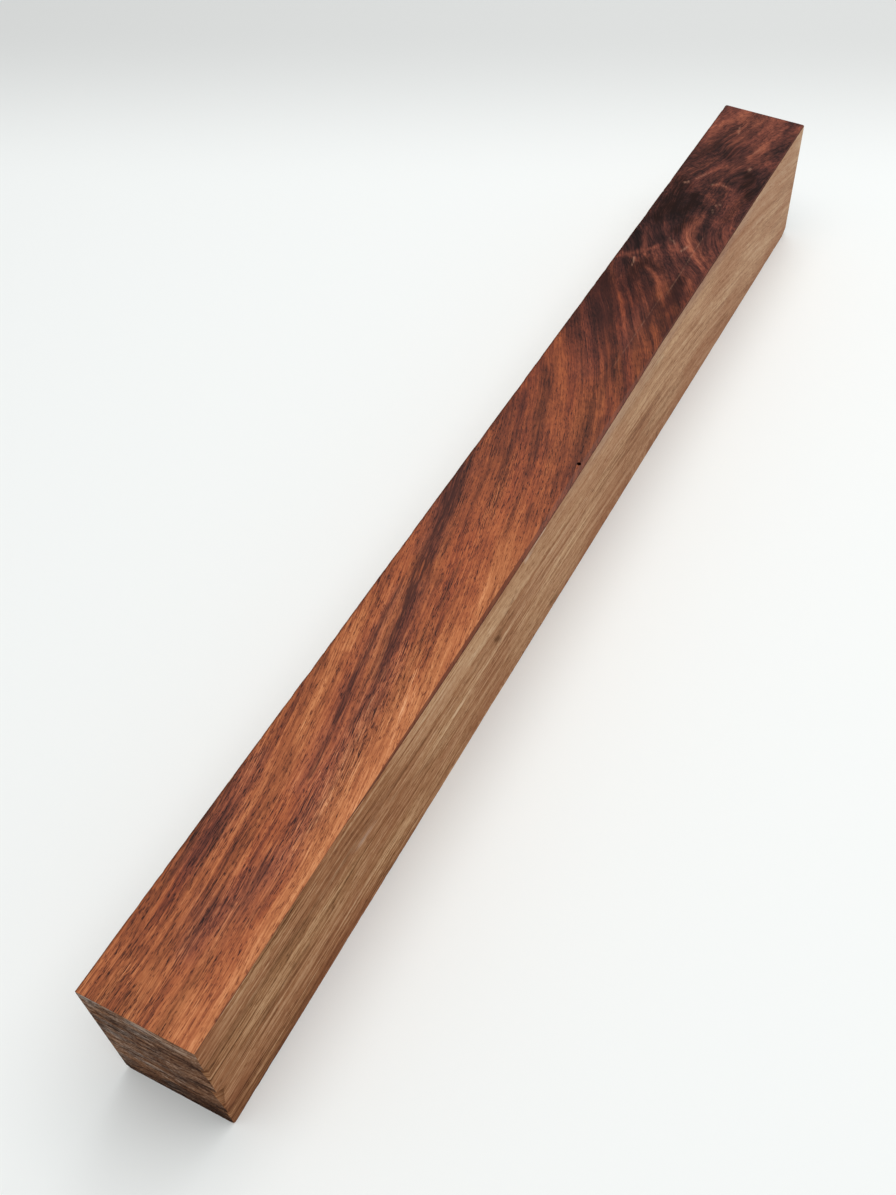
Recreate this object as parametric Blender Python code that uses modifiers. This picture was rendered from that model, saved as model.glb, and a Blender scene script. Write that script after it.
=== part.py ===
"""Bubinga wood blank: one sawn length of timber, planed on its figured top.

The blank lies along X and rests on its underside. The origin is the middle of the underside.
The near end, whose sawn end grain shows, is at -X, and the right-hand side is at -Y.
Units are metres and radians.
"""

import math
from collections import namedtuple

import bmesh
import bpy
from mathutils import Matrix, Vector

# Driving dimensions. The width is that of the ends
BLANK_LENGTH = 0.500
BLANK_WIDTH = 0.040
BLANK_HEIGHT = 0.060

# The right-hand side isn't flat: its top swells out between these two distances from the near
# end, and its foot is a little hollow from end to end
SWELL_FROM = 0.080
SWELL_TO = 0.320
SWELL_AT_TOP = 0.0014
SWELL_FULLNESS = 0.7
HOLLOW_AT_FOOT = 0.0005
SIDE_STEPS = 25

# The long sharp edges, called arrises, are rubbed down a little by handling
ARRIS_EASE = 0.0004
ARRIS_STEPS = 2

# Steps that the saw broke out of the near end's right-hand upright edge: how far each ledge
# lies below the top, how deep it goes in, how far it runs down, and which way it faces
Breakout = namedtuple("Breakout", "name drop depth fall facing")
BREAKOUTS = (
    Breakout("breakout_upper", drop=0.0132, depth=0.0012, fall=0.0110, facing=math.radians(38)),
    Breakout("breakout_middle", drop=0.0315, depth=0.0019, fall=0.0160, facing=math.radians(52)),
    Breakout("breakout_lower", drop=0.0495, depth=0.0008, fall=0.0060, facing=math.radians(45)),
)
BREAKOUT_REACH = 0.006

# Corners knocked off: which corner of the box, and how much is gone of each edge that meets there
Knock = namedtuple("Knock", "name corner along across up")
KNOCKED_CORNERS = (
    Knock("knock_near_left_foot", corner=(-1, 1, -1), along=0.0022, across=0.0020, up=0.0026),
    Knock("knock_near_right_foot", corner=(-1, -1, -1), along=0.0010, across=0.0012, up=0.0012),
    Knock("knock_far_right_foot", corner=(1, -1, -1), along=0.0045, across=0.0014, up=0.0030),
    Knock("knock_far_left_top", corner=(1, 1, 1), along=0.0009, across=0.0008, up=0.0008),
)
KNOCK_REACH = 0.012

# Flakes lost from the arrises: distance from the near end, which arris, half-lengths of the
# hollow along, across and up, and how far the hollow's middle stands out from the arris
Flake = namedtuple("Flake", "name from_near_end side level hollow stand_out")
ARRIS_FLAKES = (
    Flake("flake_left_top", 0.0760, side=1, level=1, hollow=(0.0045, 0.0016, 0.0014), stand_out=0.0009),
    Flake("flake_left_top_small", 0.2125, side=1, level=1, hollow=(0.0030, 0.0012, 0.0010), stand_out=0.0007),
    Flake("flake_right_foot", 0.2260, side=-1, level=-1, hollow=(0.0032, 0.0020, 0.0022), stand_out=0.0010),
    Flake("flake_left_foot", 0.3650, side=1, level=-1, hollow=(0.0060, 0.0018, 0.0020), stand_out=0.0011),
)
FLAKE_SEGMENTS = 20
FLAKE_RINGS = 10

# A beetle's pin hole in the planed face, where its right-hand arris would be without the swelling
PIN_HOLE_FROM_NEAR_END = 0.2465
PIN_HOLE_INSIDE = 0.0011
PIN_HOLE_TOP_RADIUS = 0.0008
PIN_HOLE_BOTTOM_RADIUS = 0.0004
PIN_HOLE_DEPTH = 0.0030
PIN_HOLE_SIDES = 12

# Finishes: colour as linear red, green and blue, and how rough the tool left the wood
Finish = namedtuple("Finish", "name colour roughness")
PLANED_FACE = Finish("planed bubinga heartwood", (0.275, 0.078, 0.030), 0.48)
SAWN_SIDE = Finish("sawn bubinga side grain", (0.310, 0.170, 0.085), 0.80)
SAWN_END = Finish("sawn bubinga end grain", (0.105, 0.066, 0.045), 0.88)
FINISHES = (PLANED_FACE, SAWN_SIDE, SAWN_END)
FACING = 0.9

# Places worked out from the driving dimensions. The origin is midway between the left-hand side
# and the most that the right-hand side swells to
HALF_LENGTH = BLANK_LENGTH / 2
HALF_WIDTH = BLANK_WIDTH / 2
HALF_HEIGHT = BLANK_HEIGHT / 2
MIDDLE = SWELL_AT_TOP / 2


def clear_scene():
    """Remove whatever the file opened with."""
    for thing in list(bpy.data.objects):
        bpy.data.objects.remove(thing, do_unlink=True)


def new_collection(name):
    """A collection of this name in the scene."""
    collection = bpy.data.collections.new(name)
    bpy.context.scene.collection.children.link(collection)
    return collection


def new_object(name, shape, collection, place=(0.0, 0.0, 0.0)):
    """An object at this place that holds the bmesh, which is used up."""
    mesh = bpy.data.meshes.new(name)
    shape.to_mesh(mesh)
    shape.free()
    thing = bpy.data.objects.new(name, mesh)
    thing.location = place
    collection.objects.link(thing)
    return thing


def wood_finish(finish):
    """A bare wood surface: its colour, and how rough it was left."""
    material = bpy.data.materials.new(finish.name)
    material.use_nodes = True
    shader = material.node_tree.nodes["Principled BSDF"]
    shader.inputs["Base Color"].default_value = (*finish.colour, 1.0)
    shader.inputs["Roughness"].default_value = finish.roughness
    shader.inputs["Metallic"].default_value = 0.0
    material.diffuse_color = (*finish.colour, 1.0)
    return material


def swell_at(x):
    """How far the top of the right-hand side stands out at this place along the blank."""
    share = (x + HALF_LENGTH - SWELL_FROM) / (SWELL_TO - SWELL_FROM)
    if not 0.0 < share < 1.0:
        return 0.0
    return SWELL_AT_TOP * math.sin(math.pi * share) ** SWELL_FULLNESS


def hollow_at(x):
    """How far the foot of the right-hand side goes in at this place along the blank."""
    return HOLLOW_AT_FOOT * (1.0 - (x / HALF_LENGTH) ** 2)


def shape_right_side(shape):
    """Move the right-hand side of the block to its swollen top and its hollow foot."""
    lengthwise = [edge for edge in shape.edges if abs(edge.verts[0].co.x - edge.verts[1].co.x) > HALF_LENGTH]
    bmesh.ops.subdivide_edges(shape, edges=lengthwise, cuts=SIDE_STEPS - 1, use_grid_fill=True)
    for corner in shape.verts:
        if corner.co.y < MIDDLE:
            at_top = corner.co.z > HALF_HEIGHT
            corner.co.y += -swell_at(corner.co.x) if at_top else hollow_at(corner.co.x)


def finish_of(face):
    """Which finish a face of the block has: planed on top, sawn on the sides and the ends."""
    if face.normal.z > FACING:
        return PLANED_FACE
    if abs(face.normal.x) > FACING:
        return SAWN_END
    return SAWN_SIDE


def sawn_block(collection):
    """The block, with its origin under its middle."""
    shape = bmesh.new()
    size = Matrix.Diagonal((BLANK_LENGTH, BLANK_WIDTH, BLANK_HEIGHT, 1.0))
    lift = Matrix.Translation((0.0, MIDDLE, HALF_HEIGHT))
    bmesh.ops.create_cube(shape, size=1.0, matrix=lift @ size)
    shape_right_side(shape)
    shape.normal_update()
    for face in shape.faces:
        face.material_index = FINISHES.index(finish_of(face))
    block = new_object("bubinga_blank", shape, collection)
    for finish in FINISHES:
        block.data.materials.append(wood_finish(finish))
    return block


def ease_arrises(block):
    """Round every edge of the block by the little that handling has worn off."""
    bevel = block.modifiers.new("eased arrises", "BEVEL")
    bevel.width = ARRIS_EASE
    bevel.segments = ARRIS_STEPS
    bevel.limit_method = "ANGLE"


def breakout_cutter(breakout, collection):
    """A wedge on the upright edge: it leaves a ledge on top and runs out to nothing below."""
    shape = bmesh.new()
    size = Matrix.Diagonal((BREAKOUT_REACH, BREAKOUT_REACH * 2, breakout.fall, 1.0))
    outside = Matrix.Translation((-BREAKOUT_REACH / 2, 0.0, breakout.fall / 2))
    lean = Matrix.Rotation(math.atan2(breakout.depth, breakout.fall), 4, "Y")
    turn = Matrix.Rotation(breakout.facing, 4, "Z")
    bmesh.ops.create_cube(shape, size=1.0, matrix=turn @ lean @ outside @ size)
    foot = BLANK_HEIGHT - breakout.drop - breakout.fall
    return new_object(breakout.name, shape, collection, (-HALF_LENGTH, MIDDLE - HALF_WIDTH, foot))


def corner_cutter(knock, collection):
    """A cube whose inner face slices a corner of the block off."""
    along, across, up = knock.corner
    corner = Vector((along * HALF_LENGTH, MIDDLE + across * HALF_WIDTH, HALF_HEIGHT + up * HALF_HEIGHT))
    outward = Vector((along / knock.along, across / knock.across, up / knock.up))
    depth = 1.0 / outward.length
    outward.normalize()
    shape = bmesh.new()
    lift = Matrix.Translation((0.0, 0.0, KNOCK_REACH / 2))
    turn = outward.to_track_quat("Z", "Y").to_matrix().to_4x4()
    bmesh.ops.create_cube(shape, size=KNOCK_REACH, matrix=turn @ lift)
    return new_object(knock.name, shape, collection, corner - outward * depth)


def flake_cutter(flake, collection):
    """A stretched ball, mostly outside an arris, that scoops a shallow flake from it."""
    shape = bmesh.new()
    bmesh.ops.create_uvsphere(
        shape,
        u_segments=FLAKE_SEGMENTS,
        v_segments=FLAKE_RINGS,
        radius=1.0,
        matrix=Matrix.Diagonal((*flake.hollow, 1.0)),
    )
    place = (
        flake.from_near_end - HALF_LENGTH,
        MIDDLE + flake.side * (HALF_WIDTH + flake.stand_out),
        HALF_HEIGHT + flake.level * (HALF_HEIGHT + flake.stand_out),
    )
    return new_object(flake.name, shape, collection, place)


def pin_hole_cutter(collection):
    """A narrow tapered plug, half in the planed face and half out of it."""
    shape = bmesh.new()
    bmesh.ops.create_cone(
        shape,
        cap_ends=True,
        segments=PIN_HOLE_SIDES,
        radius1=PIN_HOLE_BOTTOM_RADIUS,
        radius2=PIN_HOLE_TOP_RADIUS * 2 - PIN_HOLE_BOTTOM_RADIUS,
        depth=PIN_HOLE_DEPTH * 2,
    )
    place = (
        PIN_HOLE_FROM_NEAR_END - HALF_LENGTH,
        MIDDLE - HALF_WIDTH + PIN_HOLE_INSIDE,
        BLANK_HEIGHT,
    )
    return new_object("pin_hole", shape, collection, place)


def make_cutters(collection):
    """Every shape that takes wood away from the block, drawn as wires."""
    cutters = [breakout_cutter(breakout, collection) for breakout in BREAKOUTS]
    cutters += [corner_cutter(knock, collection) for knock in KNOCKED_CORNERS]
    cutters += [flake_cutter(flake, collection) for flake in ARRIS_FLAKES]
    cutters.append(pin_hole_cutter(collection))
    for cutter in cutters:
        cutter.hide_render = True
        cutter.display_type = "WIRE"
    return cutters


def cut_away(block, cutters):
    """Take each cutter out of the block."""
    for cutter in cutters:
        cut = block.modifiers.new(cutter.name, "BOOLEAN")
        cut.operation = "DIFFERENCE"
        cut.solver = "EXACT"
        cut.object = cutter


def main():
    """Build the blank."""
    clear_scene()
    timber = new_collection("bubinga wood blank")
    tools = new_collection("cutters")
    block = sawn_block(timber)
    ease_arrises(block)
    cut_away(block, make_cutters(tools))


main()
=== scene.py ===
"""Bubinga wood blank: the looks of one sawn length of timber with a planed, figured top.

The file is laid out as a Blender add-on: settings, one operator for the blank, one for the
studio, and a panel that lists them. Lengths are in metres. What is drawn on the wood is placed
in millimetres: `along` from the near end, `across` from the left-hand side and `down` from the
planed top. The near end, whose sawn end grain shows, is at -X, and the right-hand side at -Y.
"""

import math
from collections import namedtuple

import bmesh
import bpy
import numpy as np
from mathutils import Matrix, Vector


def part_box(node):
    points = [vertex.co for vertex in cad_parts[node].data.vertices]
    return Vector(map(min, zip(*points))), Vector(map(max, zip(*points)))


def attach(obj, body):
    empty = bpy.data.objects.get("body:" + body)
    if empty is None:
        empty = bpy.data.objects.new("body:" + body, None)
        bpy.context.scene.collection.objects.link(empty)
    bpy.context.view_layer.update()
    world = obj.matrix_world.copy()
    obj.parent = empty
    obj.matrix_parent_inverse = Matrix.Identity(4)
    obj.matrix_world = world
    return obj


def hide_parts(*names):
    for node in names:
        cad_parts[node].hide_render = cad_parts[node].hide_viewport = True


bl_info = {
    "name": "Bubinga wood blank",
    "version": (1, 0, 0),
    "blender": (4, 5, 0),
    "location": "3D View > Sidebar > Bubinga",
    "description": "Makes a sawn length of bubinga with a planed, figured top, and a studio to show it in",
    "category": "Add Mesh",
}

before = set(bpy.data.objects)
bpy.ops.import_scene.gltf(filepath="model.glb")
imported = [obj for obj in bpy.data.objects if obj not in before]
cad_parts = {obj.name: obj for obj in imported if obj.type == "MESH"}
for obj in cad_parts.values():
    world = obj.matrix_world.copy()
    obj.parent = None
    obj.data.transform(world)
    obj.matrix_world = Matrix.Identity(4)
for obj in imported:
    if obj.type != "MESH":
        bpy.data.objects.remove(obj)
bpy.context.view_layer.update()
BLANK_LOW, BLANK_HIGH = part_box("bubinga_blank")

MM = 0.001

# The block, from its part in model.glb. Its right-hand side swells, so its width is that of its ends
LENGTH = BLANK_HIGH.x - BLANK_LOW.x
HEIGHT = BLANK_HIGH.z - BLANK_LOW.z
WIDTH = 0.040
NEAR = BLANK_LOW.x
LEFT = BLANK_HIGH.y
MIDDLE = LEFT - WIDTH / 2

# The swelling of the right-hand side's top and the hollow of its foot, as in the solid
SWELL_FROM = 0.080
SWELL_TO = 0.320
SWELL_AT_TOP = 0.0014
SWELL_FULLNESS = 0.7
HOLLOW_AT_FOOT = 0.0005

# How finely the block is divided before its surface is worked
LENGTH_CUTS = (23, 15)
STRIPS_ACROSS = 80
STRIPS_DOWN = 30
ARRIS_STEPS = 3

# Steps broken out of the near end's right-hand upright edge, as in the solid
Breakout = namedtuple("Breakout", "name drop depth fall facing")
BREAKOUTS = (
    Breakout("breakout_upper", drop=0.0132, depth=0.0012, fall=0.0110, facing=math.radians(38)),
    Breakout("breakout_middle", drop=0.0315, depth=0.0019, fall=0.0160, facing=math.radians(52)),
    Breakout("breakout_lower", drop=0.0495, depth=0.0008, fall=0.0060, facing=math.radians(45)),
)
BREAKOUT_REACH = 0.006

# Corners knocked off, as in the solid: how much is gone of each edge that meets there
Knock = namedtuple("Knock", "name corner along across up")
KNOCKED_CORNERS = (
    Knock("knock_near_left_foot", corner=(-1, 1, -1), along=0.0022, across=0.0020, up=0.0026),
    Knock("knock_near_right_foot", corner=(-1, -1, -1), along=0.0010, across=0.0012, up=0.0012),
    Knock("knock_far_right_foot", corner=(1, -1, -1), along=0.0045, across=0.0014, up=0.0030),
    Knock("knock_far_left_top", corner=(1, 1, 1), along=0.0009, across=0.0008, up=0.0008),
)
KNOCK_REACH = 0.012

# Flakes lost from the arrises, as in the solid
Flake = namedtuple("Flake", "name from_near_end side level hollow stand_out")
ARRIS_FLAKES = (
    Flake("flake_left_top", 0.0760, side=1, level=1, hollow=(0.0045, 0.0016, 0.0014), stand_out=0.0009),
    Flake("flake_left_top_small", 0.2125, side=1, level=1, hollow=(0.0030, 0.0012, 0.0010), stand_out=0.0007),
    Flake("flake_right_foot", 0.2260, side=-1, level=-1, hollow=(0.0032, 0.0020, 0.0022), stand_out=0.0010),
    Flake("flake_left_foot", 0.3650, side=1, level=-1, hollow=(0.0060, 0.0018, 0.0020), stand_out=0.0011),
)

# A beetle's pin hole beside the planed face's right-hand arris, as in the solid
PIN_HOLE_FROM_NEAR_END = 0.2465
PIN_HOLE_INSIDE = 0.0011
PIN_HOLE_TOP_RADIUS = 0.0008
PIN_HOLE_BOTTOM_RADIUS = 0.0004
PIN_HOLE_DEPTH = 0.0030


# After how many hills the random ones repeat
HILL_TABLE = 512

# How close a cut may lie to a vertex, and which share of the longest edge counts as long
CUT_MERGE = 0.00001
NEARLY_ALL = 0.99

# How square-on a face has to be to count as facing one way, and how far up the top's faces look
FACING = 0.9
LOOKING_UP = 0.1
SMOOTH_BELOW = math.radians(32)

# How near to a side or to the underside a vertex counts as part of it, in millimetres
UNDERSIDE_REACH = 0.45

# Where, across the block, the rows of faces start and end to spread out over the swelling
SPREAD_FROM = 0.0355
SPREAD_TO = 0.0391

# The facet that a plane took off the swollen arris, in millimetres: where it starts across the
# top, before and after the place where it widens, how far its outer edge drops, and how wide it
# is where it has dropped that far
FACET_STARTS = ((205, 39.9), (230, 39.4))
FACET_DROP = 0.35
FACET_FULL_WIDTH = 0.5
THIN = 0.02
ABOVE_SIDES = 0.99

# Where along the blank the facet turns paler and fainter
FACET_PALES_FROM = 190.0
FACET_PALES_TO = 220.0

# How much the saw marks slant, and how deep the fibres, the torn ends and the planer's waves are
SAW_SLANT = 0.09
SAWN_FIBRES = 0.05 * MM
TORN_ENDS = 0.11 * MM
PLANER_WAVES = 0.02 * MM

# The four long arrises: 1 for the right-hand side, 1 for the underside, and a seed for the dents
LONG_ARRISES = ((0, 0, 11), (1, 0, 12), (0, 1, 13), (1, 1, 14))

# Dents along the arrises, in millimetres: length and greatest depth of each kind, and a step from
# the arris's seed. Only hills above DENT_ABOVE make a dent, and it fades out within DENT_REACH
DENTS = ((2.9, 0.16, 0), (11.0, 0.12, 20))
DENT_ABOVE = 0.35
DENT_REACH = 0.75

# The paper under the blank: its side, which way is away from the camera, and where along it the paper's
# painted shade starts to turn it darker and has stopped
PAPER_SIDE = 12.0
AWAY_FROM_CAMERA = (0.898, 0.440, 0.0)
PAPER_FALLS_FROM = 0.25
PAPER_FALLS_TO = 0.42

# The two soft lights, which both face the middle of the paper
SOFTBOX_PLACE = (-0.05, -0.20, 1.5)
WINDOW_PLACE = (1.06, 0.0, 1.06)
WINDOW_SIDE = 1.2

# The camera, above the near end and turned towards the far one
CAMERA_PLACE = (-0.3204, -0.1535 + MIDDLE, 0.4040)
CAMERA_TURN = (math.radians(37.328), math.radians(-0.267), math.radians(-63.89))
CAMERA_SENSOR_WIDTH = 36.0
CAMERA_SHIFT = (-0.0713, 0.0341)
CAMERA_CLIP_START = 0.01

# The colours of the wood, from dark to pale
GOLDEN_WOOD = ("#170e0b", "#301c15", "#59301f", "#81492b", "#a1603b", "#ba784c", "#cf8f61", "#dfaa7c")
REDDISH_WOOD = ("#190f0f", "#311b19", "#522a22", "#7a3d2b", "#9b5132", "#b3673f", "#c87e54", "#d79772")
DULLER_WOOD = ("#1d1212", "#372221", "#5a342f", "#7e4a3f", "#9d614f", "#b67b66", "#cc957b")
SAWN_WOOD = ("#3c2316", "#6f4a30", "#a47550", "#cda47d", "#e6caa8")
BROWN_END_WOOD = ("#1e0f08", "#4e301f", "#80593f", "#ac8a70")
GREY_END_WOOD = ("#1e1511", "#4a3930", "#7a695e", "#aa9c92")
TORN_WOOD = ("#5c3f2a", "#9c7350", "#c9a07a")

# The colours of what lies on the wood. Figure is darkest where the wood is knotty, and the facet
# is paler past the place where it widens
DARK_FIGURE_WOOD = "#3a1f1c"
KNOTTY_FIGURE_WOOD = "#1e0d08"
FLECK_WOOD = "#b08068"
NEAR_FACET_WOOD = "#54281c"
FAR_FACET_WOOD = "#6b463c"
# Painted shade for the thin dark band along the two long arrises of the top
LEFT_ARRIS_PAINTED_SHADE = "#482a1e"
RIGHT_ARRIS_PAINTED_SHADE = "#4a2e22"
GREYER_SIDE_WOOD = "#b09384"
REDDER_SIDE_WOOD = "#965a3e"
# Dark figure of the sawn side, also used for the painted shade in the breakout notches
SIDE_BLOOM = "#9c8680"
SIDE_DARK_WOOD_AND_SHADE = "#553520"
SIDE_PALE_WOOD = "#dcc4b0"
# The wall of the pin hole, stained and painted near black as shade
PIN_HOLE_STAIN_AND_SHADE = "#1a100c"
PAPER = "#eff2f1"
# Painted shade on the paper away from the camera, where a sweep would rise
FAR_PAPER_SHADE = "#d6d8d7"

# Streaks along the grain: length and width in millimetres, strength, and a seed
Streaks = namedtuple("Streaks", "length width strength seed")
TOP_FIBRE_STREAKS = (Streaks(30.0, 1.5, 0.15, 1), Streaks(11.0, 0.45, 0.12, 2))
TOP_MOTTLE = Streaks(2.0, 1.2, 0.06, 3)
KNOTTY_MOTTLE = (Streaks(4.0, 0.9, 0.06, 8), Streaks(1.8, 1.4, 0.09, 18))
SIDE_STREAKS = (Streaks(70.0, 3.0, 0.22, 10), Streaks(45.0, 1.2, 0.22, 11), Streaks(14.0, 0.45, 0.16, 12))
SIDE_MOTTLE = (Streaks(9.0, 3.5, 0.06, 16), Streaks(2.2, 1.6, 0.07, 13))
END_STREAKS = (Streaks(12.0, 2.4, 0.28, 21), Streaks(4.0, 1.0, 0.28, 22), Streaks(1.0, 0.8, 0.30, 23))
END_GREY_PATCHES = Streaks(9.0, 5.0, 0.8, 24)
TORN_STREAKS = Streaks(5.0, 0.5, 0.4, 31)

# Fibres that drawn strokes are broken up into: here the strength is the most that they cover
TOP_DARK_FIBRES = Streaks(9.0, 0.6, 0.88, 5)
TOP_PALE_FIBRES = Streaks(4.0, 1.0, 0.8, 7)
SIDE_DARK_FIBRES = Streaks(10.0, 0.9, 0.8, 15)

# Thin dashes along the grain: here the strength is how much darker or paler they are
SHORT_VESSELS = Streaks(2.2, 0.27, 0.27, 4)
LONG_VESSELS = Streaks(14.0, 0.24, 0.15, 9)
PALE_LINES = Streaks(12.0, 0.28, 0.24, 12)
SIDE_VESSELS = Streaks(3.4, 0.45, -0.22, 14)

# How far apart each seed moves a pattern, and how crowded the vessels of the sawn sides are
SEED_STEPS = (3.7, 5.3, 7.1)
SIDE_CROWDED = 0.1

# The part of the noise's range that streaks use. Noise that crowding pushes past DASHES_FROM
# makes a dash, and it is full at DASHES_FULL
NOISE_LOW = 0.25
NOISE_HIGH = 0.75
CROWDING = 0.07
DASHES_FROM = 0.61
DASHES_FULL = 0.68

# Fibres that break up drawn strokes: their middle strength, and where a stroke starts and is full
FRAY_MIDDLE = 0.75
FRAY_FROM = 0.04
FRAY_FULL = 0.85

# How rough the planed wood is, and how dry sawn and torn wood looks
PLANED_ROUGHNESS = 0.5
SAWN_ROUGHNESS = 0.95
SAWN_SHINE = 0.05

# The sockets of a colour Mix node
MIX_AMOUNT, MIX_UNDER, MIX_OVER, MIX_COLOUR = 0, 6, 7, 2

# The order of the finishes on the blank
PLANED_TOP_SLOT, SAWN_SIDE_SLOT, SAWN_END_SLOT = range(3)

# The flat layout for baking, in millimetres. Each long face is cut at MAP_SPLIT: its first length
# lies in a row, and the rest on a shelf above the rows, beside the two ends. A face is named by
# the axis that it looks along, and by whether it looks the positive way
MAP_SIDE = 358.0
MAP_SPLIT = 350.0
MAP_GAP = 1.5
MAP_END_COLUMN = 309.0
MAP_END_SHELVES = (219.0, 283.0)
MapRow = namedtuple("MapRow", "axis positive row column shelf")
MAP_ROWS = (
    MapRow(axis=2, positive=True, row=1.5, column=1.5, shelf=219.0),
    MapRow(axis=1, positive=False, row=46.0, column=1.5, shelf=264.0),
    MapRow(axis=1, positive=True, row=109.0, column=155.0, shelf=219.0),
    MapRow(axis=2, positive=False, row=172.0, column=155.0, shelf=283.0),
)

# How the grain climbs towards the left-hand side on the planed top, and how it falls on the
# sides: distance from the near end, and slope there
TOP_SLOPES = (
    (0, 0.03),
    (60, 0.08),
    (100, 0.18),
    (230, 0.24),
    (280, 0.40),
    (330, 0.60),
    (390, 0.75),
    (415, 0.10),
    (450, -0.35),
    (500, -0.20),
)
SIDE_SLOPES = ((0, 0.0), (150, 0.0), (250, 0.06), (330, 0.10), (375, 0.17), (430, 0.28), (500, 0.30))

# Where along the blank its wood turns knotty
KNOTTY_FROM = 335.0
KNOTTY_TO = 380.0

# How pale the planed top is along its length, from 0 to 1, how much paler its right-hand part
# is and how much darker its left-hand part: distance from the near end, and value there
TOP_TONE = (
    (0, 0.56), (80, 0.56), (120, 0.60), (155, 0.56), (200, 0.555), (250, 0.42),
    (300, 0.40), (345, 0.30), (400, 0.26), (450, 0.25), (500, 0.32),
)
RIGHT_PALER = (
    (0, 0.10), (100, 0.15), (150, 0.10), (200, 0.02), (260, -0.03), (310, 0.02),
    (350, 0.03), (425, -0.04), (500, -0.02),
)
LEFT_DARKER = (
    (0, 0.0), (60, 0.06), (100, 0.03), (170, 0.04), (300, 0.03), (340, 0.06),
    (425, 0.11), (450, 0.02), (500, 0.0),
)

# How red it is instead of golden, and how clearly its fibres show
TOP_REDNESS = ((0, 0.15), (30, 0.40), (140, 0.45), (240, 0.60), (300, 0.75), (400, 0.70), (500, 0.60))
TOP_FIBRES = (
    (0, 1.0), (60, 1.1), (150, 1.0), (200, 0.65), (300, 0.55), (350, 0.42),
    (440, 0.38), (500, 0.30),
)

# How pale the sawn ends are with depth below the top, and the sawn sides along their length
END_TONE = (
    (0, 0.70), (5, 0.74), (9, 0.60), (14, 0.50), (26, 0.57), (42, 0.58),
    (48, 0.53), (54, 0.36), (60, 0.16),
)
SIDE_TONE = (
    (0, 0.455), (60, 0.505), (100, 0.54), (150, 0.59), (250, 0.62), (300, 0.60),
    (350, 0.61), (450, 0.64), (500, 0.64),
)

# How many half-widths from its middle a drawn stroke has faded to about a third
STROKE_FADE = 1.15
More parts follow.
